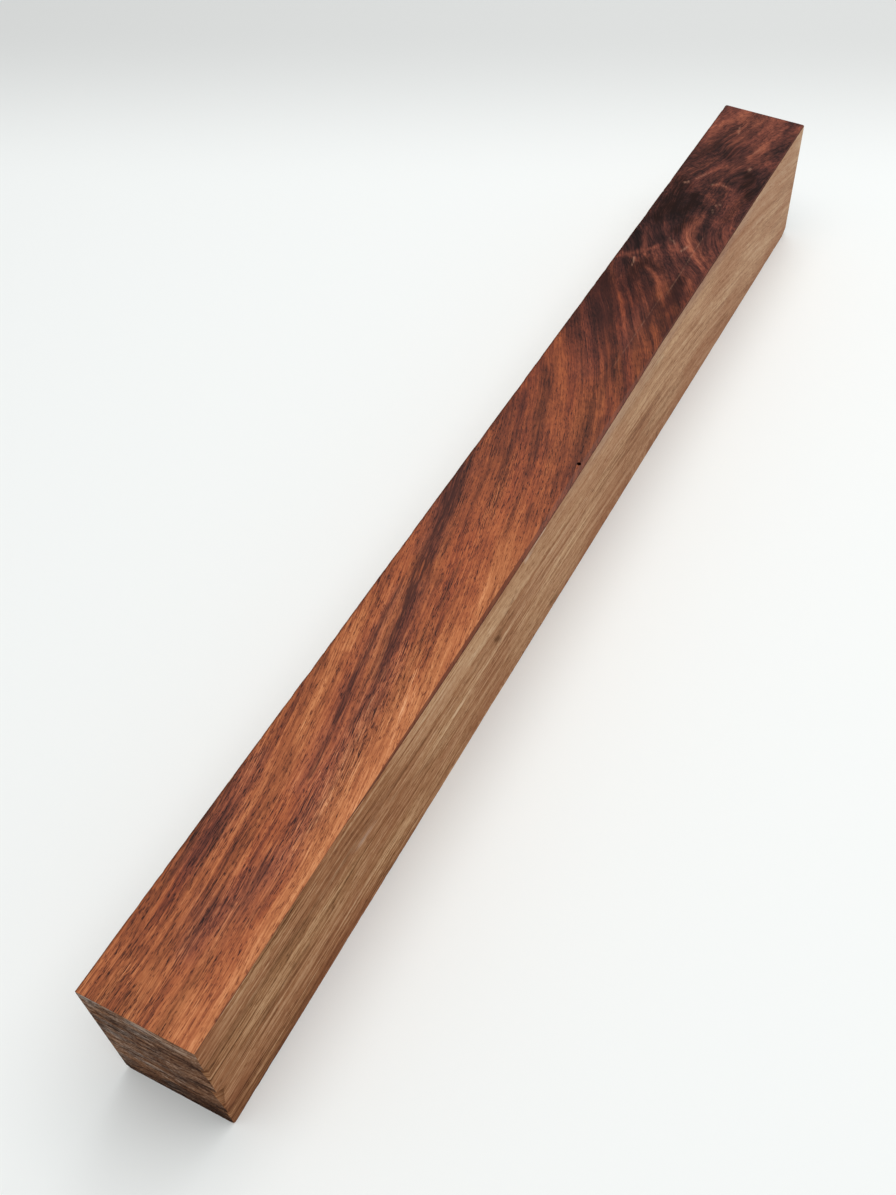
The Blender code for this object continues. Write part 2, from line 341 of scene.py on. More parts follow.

# Figure drawn on the planed top: each path has points of distance from the near end, distance from the
# left-hand side and half-width, all in millimetres
Stroke = namedtuple("Stroke", "strength path")
DARK_FIGURE = (
    Stroke(0.35, ((0, 8.2, 0.8), (8.3, 9.5, 0.7))),
    Stroke(0.40, ((0, 18.5, 0.8), (12.4, 18.6, 0.6))),
    Stroke(0.35, ((24.8, 20, 2.0), (34.1, 20.5, 4.0), (42.4, 21, 2.0))),
    Stroke(0.80, ((38.9, 21.6, 0.4), (40.7, 22.0, 0.5), (40.9, 23.4, 0.4), (40.2, 25.2, 0.5))),
    Stroke(0.40, ((33.1, 31.2, 0.4), (43.4, 31.8, 0.7), (54.7, 31.6, 0.4))),
    Stroke(0.30, ((48.5, 25.5, 1.2), (54.7, 26.5, 1.4))),
    Stroke(0.50, ((68.1, 26.2, 0.6), (74.2, 27.2, 1.2), (80.4, 26.6, 0.6))),
    Stroke(0.60, ((68.1, 30.9, 0.5), (76.3, 31.3, 0.9))),
    Stroke(0.45, ((79.4, 29.3, 0.4), (89.6, 29.7, 0.5))),
    Stroke(0.80, ((59.9, 0.3, 0.5), (68.1, 1.0, 1.2), (78.3, 0.3, 0.6))),
    Stroke(0.35, ((88.6, 3.6, 0.8), (107, 2.4, 1.4), (128.4, 1.6, 0.8))),
    Stroke(
        0.85,
        (
            (86.5, 21.5, 0.5), (94.7, 20.6, 1.0), (108, 18.0, 1.2),
            (128.4, 14.0, 1.3), (149.8, 10.6, 1.1), (169, 8.0, 0.5),
        ),
    ),
    Stroke(0.60, ((108.5, 23.4, 0.9), (111.6, 23.2, 1.3), (115.2, 22.8, 0.8))),
    Stroke(0.35, ((97.8, 27.5, 0.7), (113.1, 26.5, 1.2), (128.4, 25.4, 0.8))),
    Stroke(0.55, ((115.2, 24.5, 0.9), (128.4, 21.8, 1.5))),
    Stroke(
        1.00,
        (
            (128.4, 21.8, 1.8), (141.6, 18.8, 2.4), (155.9, 15.6, 3.0),
            (170, 12.8, 3.1), (182.2, 10.6, 2.8),
        ),
    ),
    Stroke(1.00, ((182.2, 10.6, 2.8), (198.3, 7.2, 2.5), (212.4, 3.6, 2.7), (226.5, 0.5, 2.2))),
    Stroke(0.55, ((172.6, 19.5, 1.3), (175.6, 19.3, 1.5))),
    Stroke(0.60, ((162.9, 26, 0.5), (174.1, 23.5, 0.8), (185.2, 22, 0.6))),
    Stroke(0.40, ((148.7, 29, 0.4), (161.9, 28.4, 0.5), (176.1, 28, 0.4))),
    Stroke(0.60, ((211.9, 33.6, 0.8), (215.4, 33.3, 1.1), (220, 32.6, 0.7))),
    Stroke(
        0.40,
        (
            (199.3, 14.5, 0.6), (214.4, 12.4, 0.9), (229.5, 10.4, 0.9),
            (249.5, 5.5, 0.9), (264.5, 1.5, 0.8),
        ),
    ),
    Stroke(
        0.50,
        (
            (226.5, 15.5, 0.8), (243.5, 12.2, 1.1), (256.5, 8.8, 1.2),
            (269.5, 4.8, 1.2), (279.5, 2.0, 0.8),
        ),
    ),
    Stroke(
        0.50,
        (
            (232.5, 24.5, 0.9), (247.5, 21.0, 1.3), (263.5, 15.2, 1.4),
            (279.5, 11.0, 1.2), (296.4, 6.0, 1.0),
        ),
    ),
    Stroke(0.35, ((229.5, 38.5, 1.0), (246.5, 37, 1.6), (274.5, 37.5, 1.8))),
    Stroke(0.35, ((267.5, 14, 0.5), (275.5, 10.5, 0.7), (283.5, 7, 0.5))),
    Stroke(0.50, ((276.5, 33, 1.0), (291.5, 29.5, 1.4), (304.4, 25.5, 1.6), (314.3, 20.5, 1.9))),
    Stroke(
        0.80,
        (
            (314.3, 20.5, 1.6), (322.2, 15.5, 2.2), (330.1, 11.0, 2.8),
            (340, 6.5, 3.6), (351.9, 2.5, 3.8),
        ),
    ),
    Stroke(0.50, ((307.3, 23.6, 0.9), (316.3, 22.6, 1.1))),
    Stroke(0.45, ((290.5, 38, 0.8), (304.4, 32.5, 1.0), (322.2, 26.0, 1.0), (334.1, 20.5, 0.8))),
    Stroke(0.45, ((304.4, 38.5, 0.7), (319.2, 32.5, 0.9), (334.1, 26.5, 0.9))),
    Stroke(0.80, ((326.2, 32.0, 1.2), (331.1, 30.5, 1.4), (344.9, 27.5, 1.2))),
    Stroke(1.00, ((328.2, 40, 1.6), (340, 37.5, 2.0))),
    Stroke(0.80, ((355.8, 13, 2.6), (363.7, 11, 3.4), (369.6, 14, 3.0), (366.6, 19, 2.4))),
    Stroke(0.85, ((342, 33, 2.2), (353.8, 33, 2.6), (365.6, 31, 1.8))),
    Stroke(0.80, ((395.1, 17, 2.0), (405.8, 18.5, 2.4))),
    Stroke(0.95, ((401, 5, 4.0), (412.7, 7, 5.5), (422.4, 7, 5.5), (432.2, 4, 3.0))),
    Stroke(0.95, ((410.7, 14, 3.4), (417.6, 17, 3.0), (423.4, 14, 2.6))),
    Stroke(1.00, ((432.2, 37, 2.8), (441.9, 32.5, 3.6), (448.7, 31.5, 3.2))),
    Stroke(0.45, ((412.7, 34, 2.5), (426.3, 35, 3.0))),
    Stroke(0.50, ((458.4, 17, 2.4), (465.2, 17.5, 2.6))),
    Stroke(0.50, ((448.7, 3, 1.2), (456.5, 6, 2.4), (467.2, 9, 1.6))),
)
WARM_FIGURE = (
    Stroke(0.45, ((0, 14.3, 0.7), (25.9, 14.5, 0.9), (47.5, 13.4, 0.6))),
    Stroke(0.35, ((61.9, 12.0, 0.8), (92.7, 9.0, 1.8), (111.1, 7.2, 2.0), (125.4, 6.0, 1.2))),
    Stroke(0.80, ((135.5, 6.2, 1.4), (145.7, 4.8, 2.0), (157.9, 3.2, 1.4))),
    Stroke(0.35, ((0, 31.5, 1.6), (14.5, 31.2, 1.4))),
    Stroke(0.35, ((232.5, 12.5, 1.2), (243.5, 10.2, 1.6), (254.6, 7.0, 1.2), (266.5, 3.5, 0.8))),
    Stroke(0.40, ((254.6, 12.0, 1.2), (269.5, 7.5, 1.5), (284.5, 3.5, 1.0))),
    Stroke(
        0.45,
        (
            (286.5, 36, 0.8), (304.4, 29.5, 1.2), (322.2, 23, 1.3),
            (335.1, 17.5, 1.2), (344.9, 11.5, 0.8),
        ),
    ),
    Stroke(0.40, ((304.4, 35.5, 0.8), (322.2, 29.0, 0.9), (338, 23.0, 1.0))),
    Stroke(0.45, ((314.3, 38, 1.6), (334.1, 27, 2.2), (343, 23, 2.2))),
    Stroke(0.40, ((324, 28, 3.0), (340, 25, 4.5), (348, 26, 3.0))),
    Stroke(1.00, ((349.9, 27.5, 1.4), (353.8, 26.8, 2.4), (358.7, 24.5, 1.8))),
    Stroke(0.85, ((357.8, 24.5, 1.5), (363.7, 19, 1.5), (367.6, 12, 1.4), (369.6, 8, 1.0), (370.6, 2, 1.2))),
    Stroke(0.85, ((367.6, 1, 0.9), (371.5, 5, 1.2), (376.4, 10, 1.3), (382.3, 14, 0.9))),
    Stroke(0.75, ((373.5, 11, 1.1), (381.4, 8, 1.2), (391.2, 4, 0.8))),
    Stroke(0.50, ((369.6, 36, 0.7), (377.4, 27, 1.0), (385.3, 21, 1.1), (394.1, 16, 0.8))),
    Stroke(0.55, ((375.5, 37, 0.8), (387.2, 27, 1.0), (399, 21, 0.9))),
    Stroke(0.30, ((399, 25, 1.6), (410.7, 24, 1.8), (422.4, 22, 1.4))),
    Stroke(0.45, ((418.5, 28, 1.2), (425.4, 20, 1.5), (426.3, 15, 1.1))),
    Stroke(0.80, ((433.2, 18, 0.8), (436.6, 21.5, 1.2), (435.1, 27, 1.1))),
    Stroke(0.40, ((441.9, 26, 1.4), (453.6, 29, 1.2))),
    Stroke(0.60, ((436.1, 10, 0.8), (442.9, 13, 1.0), (451.6, 19, 0.8))),
    Stroke(0.70, ((462.3, 25.5, 0.9), (471, 28.5, 1.2), (480.7, 30.5, 1.2), (495.2, 33, 0.9))),
    Stroke(0.65, ((472, 2, 1.6), (480.7, 3.8, 1.8), (488.4, 7, 1.2))),
    Stroke(0.40, ((473, 12, 1.0), (482.6, 14, 1.3), (488.4, 15, 0.9))),
)
PALE_FLECKS = (
    Stroke(0.35, ((353.3, 8.2, 0.3), (356.3, 7.8, 0.3))),
    Stroke(0.55, ((363.7, 9.4, 0.3), (366.6, 8.8, 0.3), (370.1, 7.6, 0.3))),
    Stroke(0.22, ((301.4, 28.5, 0.2), (327.2, 28.4, 0.25), (352.8, 28.5, 0.2))),
    Stroke(0.30, ((349.9, 30.2, 0.2), (375.5, 29.6, 0.25), (401, 29.2, 0.2))),
    Stroke(0.55, ((382.8, 24.3, 0.4), (385.8, 25.2, 0.5), (387.7, 26, 0.3))),
    Stroke(0.40, ((385.8, 20.5, 0.4), (388.2, 18.2, 0.4))),
    Stroke(0.35, ((387.2, 17.6, 0.3), (389.7, 16, 0.3))),
    Stroke(0.50, ((415, 26.2, 0.4), (416.6, 25.6, 0.4))),
    Stroke(0.40, ((420, 25.5, 0.5), (422, 27.5, 0.4))),
    Stroke(0.35, ((434.1, 17.6, 0.4), (436.7, 21.5, 0.4), (435.7, 25, 0.4))),
    Stroke(0.80, ((430.5, 6.6, 0.5), (431.8, 7.8, 0.5))),
    Stroke(0.35, ((436.1, 10, 0.4), (440, 12, 0.4), (443.9, 14.4, 0.3))),
    Stroke(0.70, ((452.2, 29.4, 0.5), (453.9, 29.8, 0.5))),
    Stroke(0.45, ((478.8, 14.6, 0.4), (481.7, 13.4, 0.5), (484.6, 13.0, 0.4))),
    Stroke(0.40, ((465.2, 26.4, 0.3), (471, 28, 0.4))),
)

# Where the planed top is a duller purple-brown: one broad soft patch each
PLUM_FIGURE = (
    Stroke(0.60, ((22.8, 21, 3.0), (35.2, 21, 6.0), (45.5, 26, 5.0), (61.9, 29, 3.5))),
    Stroke(0.50, ((46.5, 5, 4.0), (64, 5, 5.0), (87.6, 3.5, 3.0))),
    Stroke(0.55, ((68.1, 29, 3.0), (92.7, 26, 5.0), (118.2, 24, 4.5), (143.7, 19.5, 3.5), (169, 14, 3.5))),
    Stroke(0.45, ((82.4, 21, 3.0), (108, 17.5, 3.0), (143.7, 12, 2.5), (164, 9, 2.0))),
    Stroke(0.60, ((184.2, 9.5, 3.5), (209.4, 3.5, 4.0), (226.5, 0.5, 3.5))),
    Stroke(0.40, ((294.4, 20, 5.0), (316.3, 12, 6.0), (334.1, 8, 6.0))),
    Stroke(0.70, ((316.3, 27, 4.0), (334.1, 25, 5.5), (344, 25, 4.0))),
)

# Where on the planed top the vessel lines crowd together
CROWDED_VESSELS = (
    Stroke(0.5, ((0, 9, 4.0), (12.4, 10, 3.0))),
    Stroke(0.4, ((29, 20, 4.0), (51.6, 21, 4.0))),
    Stroke(1.0, ((61.9, 30, 2.5), (87.6, 28.5, 4.0), (113.1, 26.5, 4.0), (143.7, 24, 3.0))),
    Stroke(0.6, ((97.8, 33, 1.5), (128.4, 31, 2.0), (153.8, 29, 1.5))),
    Stroke(0.5, ((148.7, 28, 2.5), (204.4, 21, 3.0), (244.5, 16, 2.5))),
)

# Figure on the right-hand side, and painted shade in the notches under the breakout ledges at the near end:
# here the middle value is the distance down from the planed top
SIDE_DARK_FIGURE_AND_SHADE = (
    # Painted shade in the notches under the three breakout ledges, at the near end
    Stroke(0.80, ((0, 14.6, 0.9), (2.6, 16.0, 0.5))),
    Stroke(0.80, ((0, 33.0, 1.0), (3.4, 34.8, 0.5))),
    Stroke(0.70, ((0, 46.5, 0.9), (2.2, 47.8, 0.4))),
    Stroke(0.50, ((0, 12.5, 1.2), (30, 14, 1.5), (60, 16.7, 1.6), (90, 16, 1.2), (124, 16, 1.0))),
    Stroke(0.60, ((0, 29.5, 0.6), (30, 29.5, 0.7), (50, 30, 0.4))),
    Stroke(0.30, ((0, 44.5, 0.8), (28, 45, 1.2), (60, 44.5, 0.8))),
    Stroke(0.45, ((100, 20.5, 0.8), (112, 26, 0.8), (125, 33, 1.0), (138, 33, 1.0))),
    Stroke(0.85, ((173, 20.3, 0.7), (176, 23, 1.4), (178.5, 27, 0.7))),
    Stroke(0.50, ((176.5, 20.5, 0.8), (183.5, 16, 0.8), (190.5, 12.3, 0.6))),
    Stroke(0.35, ((149, 19, 0.6), (175, 21.6, 0.9), (214, 28, 0.9), (249, 31, 0.6))),
    # Darker at the flake broken from the foot arris
    Stroke(0.90, ((222.8, 56, 1.3), (227.8, 56, 1.5))),
    Stroke(0.45, ((314.6, 6.6, 1.2), (321, 8.6, 1.4))),
    Stroke(0.35, ((249, 30, 0.6), (290, 34, 1.0), (319, 41, 1.4), (351, 45, 1.2), (376, 49, 0.8))),
    Stroke(0.40, ((404, 13, 0.9), (412, 15, 0.9))),
    Stroke(0.24, ((284, 8.0, 4.0), (325, 9.5, 4.5))),
    Stroke(0.35, ((389, 46, 1.5), (403, 49, 2.0), (416, 52.5, 1.4))),
)
SIDE_PALE_FIGURE = (
    Stroke(0.70, ((197, 2.2, 0.5), (205, 1.2, 0.6), (213, 0.6, 0.5))),
    Stroke(0.40, ((78, 18.7, 0.6), (85, 20.4, 0.7), (92, 21, 0.6))),
)

# Dark cracks on the near end, and painted shade in the torn hollows beside the breakouts: distance from the
# left-hand side, then down
END_CRACKS_AND_SHADE = (
    Stroke(0.90, ((25, 17.0, 1.0), (33, 15.2, 1.5), (40, 15.6, 1.3))),
    Stroke(0.50, ((29, 25.5, 0.9), (35, 23.6, 1.3), (40, 23.0, 1.0))),
    Stroke(0.90, ((22, 38.0, 1.1), (30, 35.6, 1.6), (36, 33.6, 1.3), (40, 32.8, 1.1))),
    Stroke(0.40, ((14, 52, 1.6), (24, 50, 2.0), (33, 48.6, 1.6), (40, 46.4, 1.2))),
    Stroke(0.35, ((4, 12, 1.2), (12, 13.5, 1.4))),
    Stroke(0.30, ((6, 30, 1.4), (14, 28.5, 1.8))),
)


def linear(colour):
    """An sRGB hex colour as linear red, green, blue and alpha."""
    parts = [int(colour[i : i + 2], 16) / 255 for i in (1, 3, 5)]
    return (*[p / 12.92 if p <= 0.04045 else ((p + 0.055) / 1.055) ** 2.4 for p in parts], 1.0)


def add_node(tree, kind, inputs=None, **settings):
    """Add a node to a tree, with its settings, and with each named input linked or set to a value."""
    made = tree.nodes.new(kind)
    for name, value in settings.items():
        setattr(made, name, value)
    for socket, value in (inputs or {}).items():
        if isinstance(value, bpy.types.NodeSocket):
            tree.links.new(value, made.inputs[socket])
        else:
            made.inputs[socket].default_value = value
    return made


class BubingaBlankSettings(bpy.types.PropertyGroup):
    """Sizes and colours of the blank that a user would change."""

    arris_ease: bpy.props.FloatProperty(
        name="Arris ease",
        description="How much of each long sharp edge handling has rubbed away",
        default=0.25 * MM,
        min=0.1 * MM,
        max=2 * MM,
        unit="LENGTH",
    )
    saw_mark_pitch: bpy.props.FloatProperty(
        name="Saw mark pitch",
        description="Distance between the marks that the saw left across the sides",
        default=4.6 * MM,
        min=1 * MM,
        unit="LENGTH",
    )
    saw_mark_depth: bpy.props.FloatProperty(
        name="Saw mark depth",
        description="Depth of the marks that the saw left across the sides",
        default=0.07 * MM,
        min=0.0,
        unit="LENGTH",
    )
    heartwood: bpy.props.FloatVectorProperty(
        name="Heartwood tint",
        description="Tint over the colours of the planed face; white leaves them as they are",
        default=(1.0, 1.0, 1.0),
        size=3,
        min=0.0,
        max=1.0,
        subtype="COLOR",
    )
    sawn_wood: bpy.props.FloatVectorProperty(
        name="Sawn wood tint",
        description="Tint over the colours of the sawn sides; white leaves them as they are",
        default=(1.0, 1.0, 1.0),
        size=3,
        min=0.0,
        max=1.0,
        subtype="COLOR",
    )
    end_wood: bpy.props.FloatVectorProperty(
        name="End wood tint",
        description="Tint over the colours of the sawn ends; white leaves them as they are",
        default=(1.0, 1.0, 1.0),
        size=3,
        min=0.0,
        max=1.0,
        subtype="COLOR",
    )


class BubingaStudioSettings(bpy.types.PropertyGroup):
    """The studio that the blank is shown in."""

    floor_colour: bpy.props.FloatVectorProperty(
        name="Floor colour",
        description="The pale paper that the blank lies on",
        default=linear(PAPER)[:3],
        size=3,
        min=0.0,
        max=1.0,
        subtype="COLOR",
    )
    softbox_power: bpy.props.FloatProperty(
        name="Softbox power",
        description="Power of the large soft light above the blank",
        default=17.7,
        min=0.0,
        unit="POWER",
    )
    window_power: bpy.props.FloatProperty(
        name="Window power",
        description="Power of the smaller soft light past the blank's far end",
        default=4.6,
        min=0.0,
        unit="POWER",
    )
    softbox_side: bpy.props.FloatProperty(
        name="Softbox side",
        description="Length of each side of the softbox",
        default=1.6,
        min=0.1,
        unit="LENGTH",
    )
    daylight: bpy.props.FloatProperty(
        name="Daylight",
        description="Strength of the even light that comes from all around",
        default=0.40,
        min=0.0,
    )
    lens: bpy.props.FloatProperty(
        name="Lens",
        description="Focal length of the camera",
        default=39.131,
        min=10.0,
        unit="CAMERA",
    )


def smooth(share):
    """0 below 0 and 1 above 1, with a soft rise between."""
    share = np.clip(share, 0.0, 1.0)
    return share * share * (3.0 - 2.0 * share)


def rise(value, start, end):
    """0 at the start and 1 at the end, with a soft rise between; the end may be the lower one."""
    return smooth((value - start) / (end - start))


def read_between(place, stations):
    """The value at each place, read from a list of stations and the values there."""
    return np.interp(place, *zip(*stations))


def hills(a, b, length, width, seed):
    """Smooth random hills and hollows from -1 to 1, this far apart in a and in b."""
    table = np.random.default_rng(seed).uniform(-1.0, 1.0, (HILL_TABLE, HILL_TABLE))
    a, b = a / length, b / width
    low_a, low_b = np.floor(a).astype(int), np.floor(b).astype(int)
    share_a, share_b = smooth(a - low_a), smooth(b - low_b)
    row, next_row = low_a % HILL_TABLE, (low_a + 1) % HILL_TABLE
    column, next_column = low_b % HILL_TABLE, (low_b + 1) % HILL_TABLE
    near = table[row, column] * (1.0 - share_a) + table[next_row, column] * share_a
    far = table[row, next_column] * (1.0 - share_a) + table[next_row, next_column] * share_a
    return near * (1.0 - share_b) + far * share_b


def swell_at(along):
    """How far the top of the right-hand side stands out, this far from the near end."""
    share = np.clip((along - SWELL_FROM) / (SWELL_TO - SWELL_FROM), 0.0, 1.0)
    return SWELL_AT_TOP * np.sin(math.pi * share) ** SWELL_FULLNESS


def hollow_at(along):
    """How far the foot of the right-hand side goes in, this far from the near end."""
    return HOLLOW_AT_FOOT * (1.0 - (2.0 * along / LENGTH - 1.0) ** 2)


def read_vectors(items, name):
    """One vector of each vertex or face of a mesh, as rows of x, y and z."""
    vectors = np.empty(len(items) * 3)
    items.foreach_get(name, vectors)
    return vectors.reshape(-1, 3)


def write_places(mesh, places):
    """Move every vertex of a mesh to its row of x, y and z."""
    mesh.vertices.foreach_set("co", places.ravel())
    mesh.update()


def measure(places):
    """Millimetres along the blank, across it and down from its top, at each place."""
    return (places[:, 0] - NEAR) / MM, (LEFT - places[:, 1]) / MM, (HEIGHT - places[:, 2]) / MM


def select_long_edges(block):
    """In edit mode, select just the edges that run as far along the block as the longest one."""
    bpy.ops.mesh.select_all(action="DESELECT")
    shape = bmesh.from_edit_mesh(block.data)
    longest = max(abs(edge.verts[0].co.x - edge.verts[1].co.x) for edge in shape.edges)
    for edge in shape.edges:
        edge.select_set(abs(edge.verts[0].co.x - edge.verts[1].co.x) > longest * NEARLY_ALL)
    bmesh.update_edit_mesh(block.data)


def divided_block(ease):
    """A block with eased arrises, divided into small four-sided faces all over."""
    bpy.ops.mesh.primitive_cube_add(size=1.0, location=(0.0, MIDDLE, HEIGHT / 2))
    block = bpy.context.object
    block.name = "bubinga_timber"
    block.scale = (LENGTH, WIDTH, HEIGHT)
    bpy.ops.object.transform_apply(location=True, rotation=True, scale=True)
    bpy.ops.object.mode_set(mode="EDIT")
    bpy.ops.mesh.select_mode(type="EDGE")
    bpy.ops.mesh.select_all(action="SELECT")
    bpy.ops.mesh.bevel(offset=ease, segments=ARRIS_STEPS, affect="EDGES")
    for strip in range(1, STRIPS_ACROSS):
        across = LEFT - ease - (WIDTH - 2 * ease) * strip / STRIPS_ACROSS
        bpy.ops.mesh.select_all(action="SELECT")
        bpy.ops.mesh.bisect(plane_co=(0.0, across, 0.0), plane_no=(0.0, 1.0, 0.0), threshold=CUT_MERGE)
    for strip in range(1, STRIPS_DOWN):
        up = ease + (HEIGHT - 2 * ease) * strip / STRIPS_DOWN
        bpy.ops.mesh.select_all(action="SELECT")
        bpy.ops.mesh.bisect(plane_co=(0.0, 0.0, up), plane_no=(0.0, 0.0, 1.0), threshold=CUT_MERGE)
    for cuts in LENGTH_CUTS:
        select_long_edges(block)
        bpy.ops.mesh.subdivide(number_cuts=cuts)
    bpy.ops.object.mode_set(mode="OBJECT")
    return block


def shape_right_side(block):
    """Move the right-hand side to its swollen top and its hollow foot, and lay down the facet above it."""
    places = read_vectors(block.data.vertices, "co")
    along = places[:, 0] - NEAR
    share_up = places[:, 2] / HEIGHT
    spread = np.clip((LEFT - places[:, 1] - SPREAD_FROM) / (SPREAD_TO - SPREAD_FROM), 0.0, 1.0)
    out = swell_at(along) * share_up - hollow_at(along) * (1.0 - share_up)
    places[:, 1] -= out * spread
    start = read_between(along / MM, FACET_STARTS)
    width = (WIDTH + swell_at(along)) / MM - start
    share = ((LEFT - places[:, 1]) / MM - start) / np.maximum(width, THIN)
    drop = FACET_DROP * MM * np.clip(share, 0.0, 1.0) * rise(width, 0.0, FACET_FULL_WIDTH)
    places[:, 2] -= np.where(share_up > ABOVE_SIDES, drop, 0.0)
    write_places(block.data, places)


def face_materials(block, finishes):
    """Give the block its finishes: planed on top, sawn on the sides and the underside, and at the ends."""
    for finish in finishes:
        block.data.materials.append(finish)
    normals = read_vectors(block.data.polygons, "normal")
    at_end = np.abs(normals[:, 0])
    slots = np.full(len(normals), SAWN_SIDE_SLOT, np.int32)
    slots[at_end > FACING] = SAWN_END_SLOT
    slots[(normals[:, 2] > LOOKING_UP) & (at_end < FACING)] = PLANED_TOP_SLOT
    block.data.polygons.foreach_set("material_index", slots)


def breakout_cutter(breakout):
    """A wedge on the near right-hand upright edge: a ledge on top, running out to nothing below."""
    bpy.ops.mesh.primitive_cube_add(size=1.0)
    wedge = bpy.context.object
    size = Matrix.Diagonal((BREAKOUT_REACH, BREAKOUT_REACH * 2, breakout.fall, 1.0))
    outside = Matrix.Translation((-BREAKOUT_REACH / 2, 0.0, breakout.fall / 2))
    lean = Matrix.Rotation(math.atan2(breakout.depth, breakout.fall), 4, "Y")
    turn = Matrix.Rotation(breakout.facing, 4, "Z")
    foot = HEIGHT - breakout.drop - breakout.fall
    place = Matrix.Translation((NEAR, MIDDLE - WIDTH / 2, foot))
    wedge.data.transform(place @ turn @ lean @ outside @ size)
    return wedge


def corner_cutter(knock):
    """A cube whose inner face slices a corner of the block off."""
    along, across, up = knock.corner
    corner = Vector((along * LENGTH / 2, MIDDLE + across * WIDTH / 2, HEIGHT / 2 + up * HEIGHT / 2))
    outward = Vector((along / knock.along, across / knock.across, up / knock.up))
    depth = 1.0 / outward.length
    outward.normalize()
    bpy.ops.mesh.primitive_cube_add(size=KNOCK_REACH)
    cube = bpy.context.object
    lift = Matrix.Translation((0.0, 0.0, KNOCK_REACH / 2))
    turn = outward.to_track_quat("Z", "Y").to_matrix().to_4x4()
    cube.data.transform(Matrix.Translation(corner - outward * depth) @ turn @ lift)
    return cube


def flake_cutter(flake):
    """A stretched ball, mostly outside an arris, that scoops a shallow flake from it."""
    bpy.ops.mesh.primitive_ico_sphere_add(subdivisions=4, radius=1.0)
    ball = bpy.context.object
    place = Vector(
        (
            NEAR + flake.from_near_end,
            MIDDLE + flake.side * (WIDTH / 2 + flake.stand_out),
            HEIGHT / 2 + flake.level * (HEIGHT / 2 + flake.stand_out),
        )
    )
    ball.data.transform(Matrix.Translation(place) @ Matrix.Diagonal((*flake.hollow, 1.0)))
    return ball


def pin_hole_cutter():
    """A narrow tapered plug, half in the planed face and half out of it."""
    bpy.ops.mesh.primitive_cone_add(
        vertices=24,
        radius1=PIN_HOLE_BOTTOM_RADIUS,
        radius2=PIN_HOLE_TOP_RADIUS * 2 - PIN_HOLE_BOTTOM_RADIUS,
        depth=PIN_HOLE_DEPTH * 2,
    )
    plug = bpy.context.object
    place = (NEAR + PIN_HOLE_FROM_NEAR_END, MIDDLE - WIDTH / 2 + PIN_HOLE_INSIDE, HEIGHT)
    plug.data.transform(Matrix.Translation(place))
    return plug


def chip_away(block, sawn, torn, bored):
    """Cut the breakouts, the lost corners, the flakes and the pin hole out of the block."""
    splits = [breakout_cutter(breakout) for breakout in BREAKOUTS]
    chips = [corner_cutter(knock) for knock in KNOCKED_CORNERS]
    chips += [flake_cutter(flake) for flake in ARRIS_FLAKES]
    holes = [pin_hole_cutter()]
    for group, finish in ((splits, sawn), (chips, torn), (holes, bored)):
        for cutter in group:
            cutter.data.materials.append(finish)
    cutters = splits + chips + holes
    bpy.ops.object.select_all(action="DESELECT")
    for cutter in cutters:
        cutter.select_set(True)
    bpy.context.view_layer.objects.active = cutters[0]
    bpy.ops.object.join()
    cutter = bpy.context.object
    bpy.ops.object.select_all(action="DESELECT")
    block.select_set(True)
    bpy.context.view_layer.objects.active = block
    cut = block.modifiers.new("chips", "BOOLEAN")
    cut.operation = "DIFFERENCE"
    cut.solver = "EXACT"
    cut.material_mode = "TRANSFER"
    cut.object = cutter
    bpy.ops.object.modifier_apply(modifier=cut.name)
    bpy.data.objects.remove(cutter, do_unlink=True)


def round_the_block(places):
    """Millimetres round the block: down the right-hand side, back under it and up the left-hand side."""
    _, across, down = measure(places)
    height, width = HEIGHT / MM, WIDTH / MM
    on_right = across > width - UNDERSIDE_REACH
    on_left = across < UNDERSIDE_REACH
    under = down > height - UNDERSIDE_REACH

    # Where a splinter broke out beside the near end, the wood behind it still counts as the side
    broken_out = (places[:, 0] < NEAR + BREAKOUT_REACH) & (across > width - BREAKOUT_REACH / MM)
    on_right |= broken_out & ~under
    way = np.where(on_right, down, height + (width - across))
    way = np.where(on_left & ~under, 2 * height + width - down, way)
    return np.where(on_left & under, height + width, way)


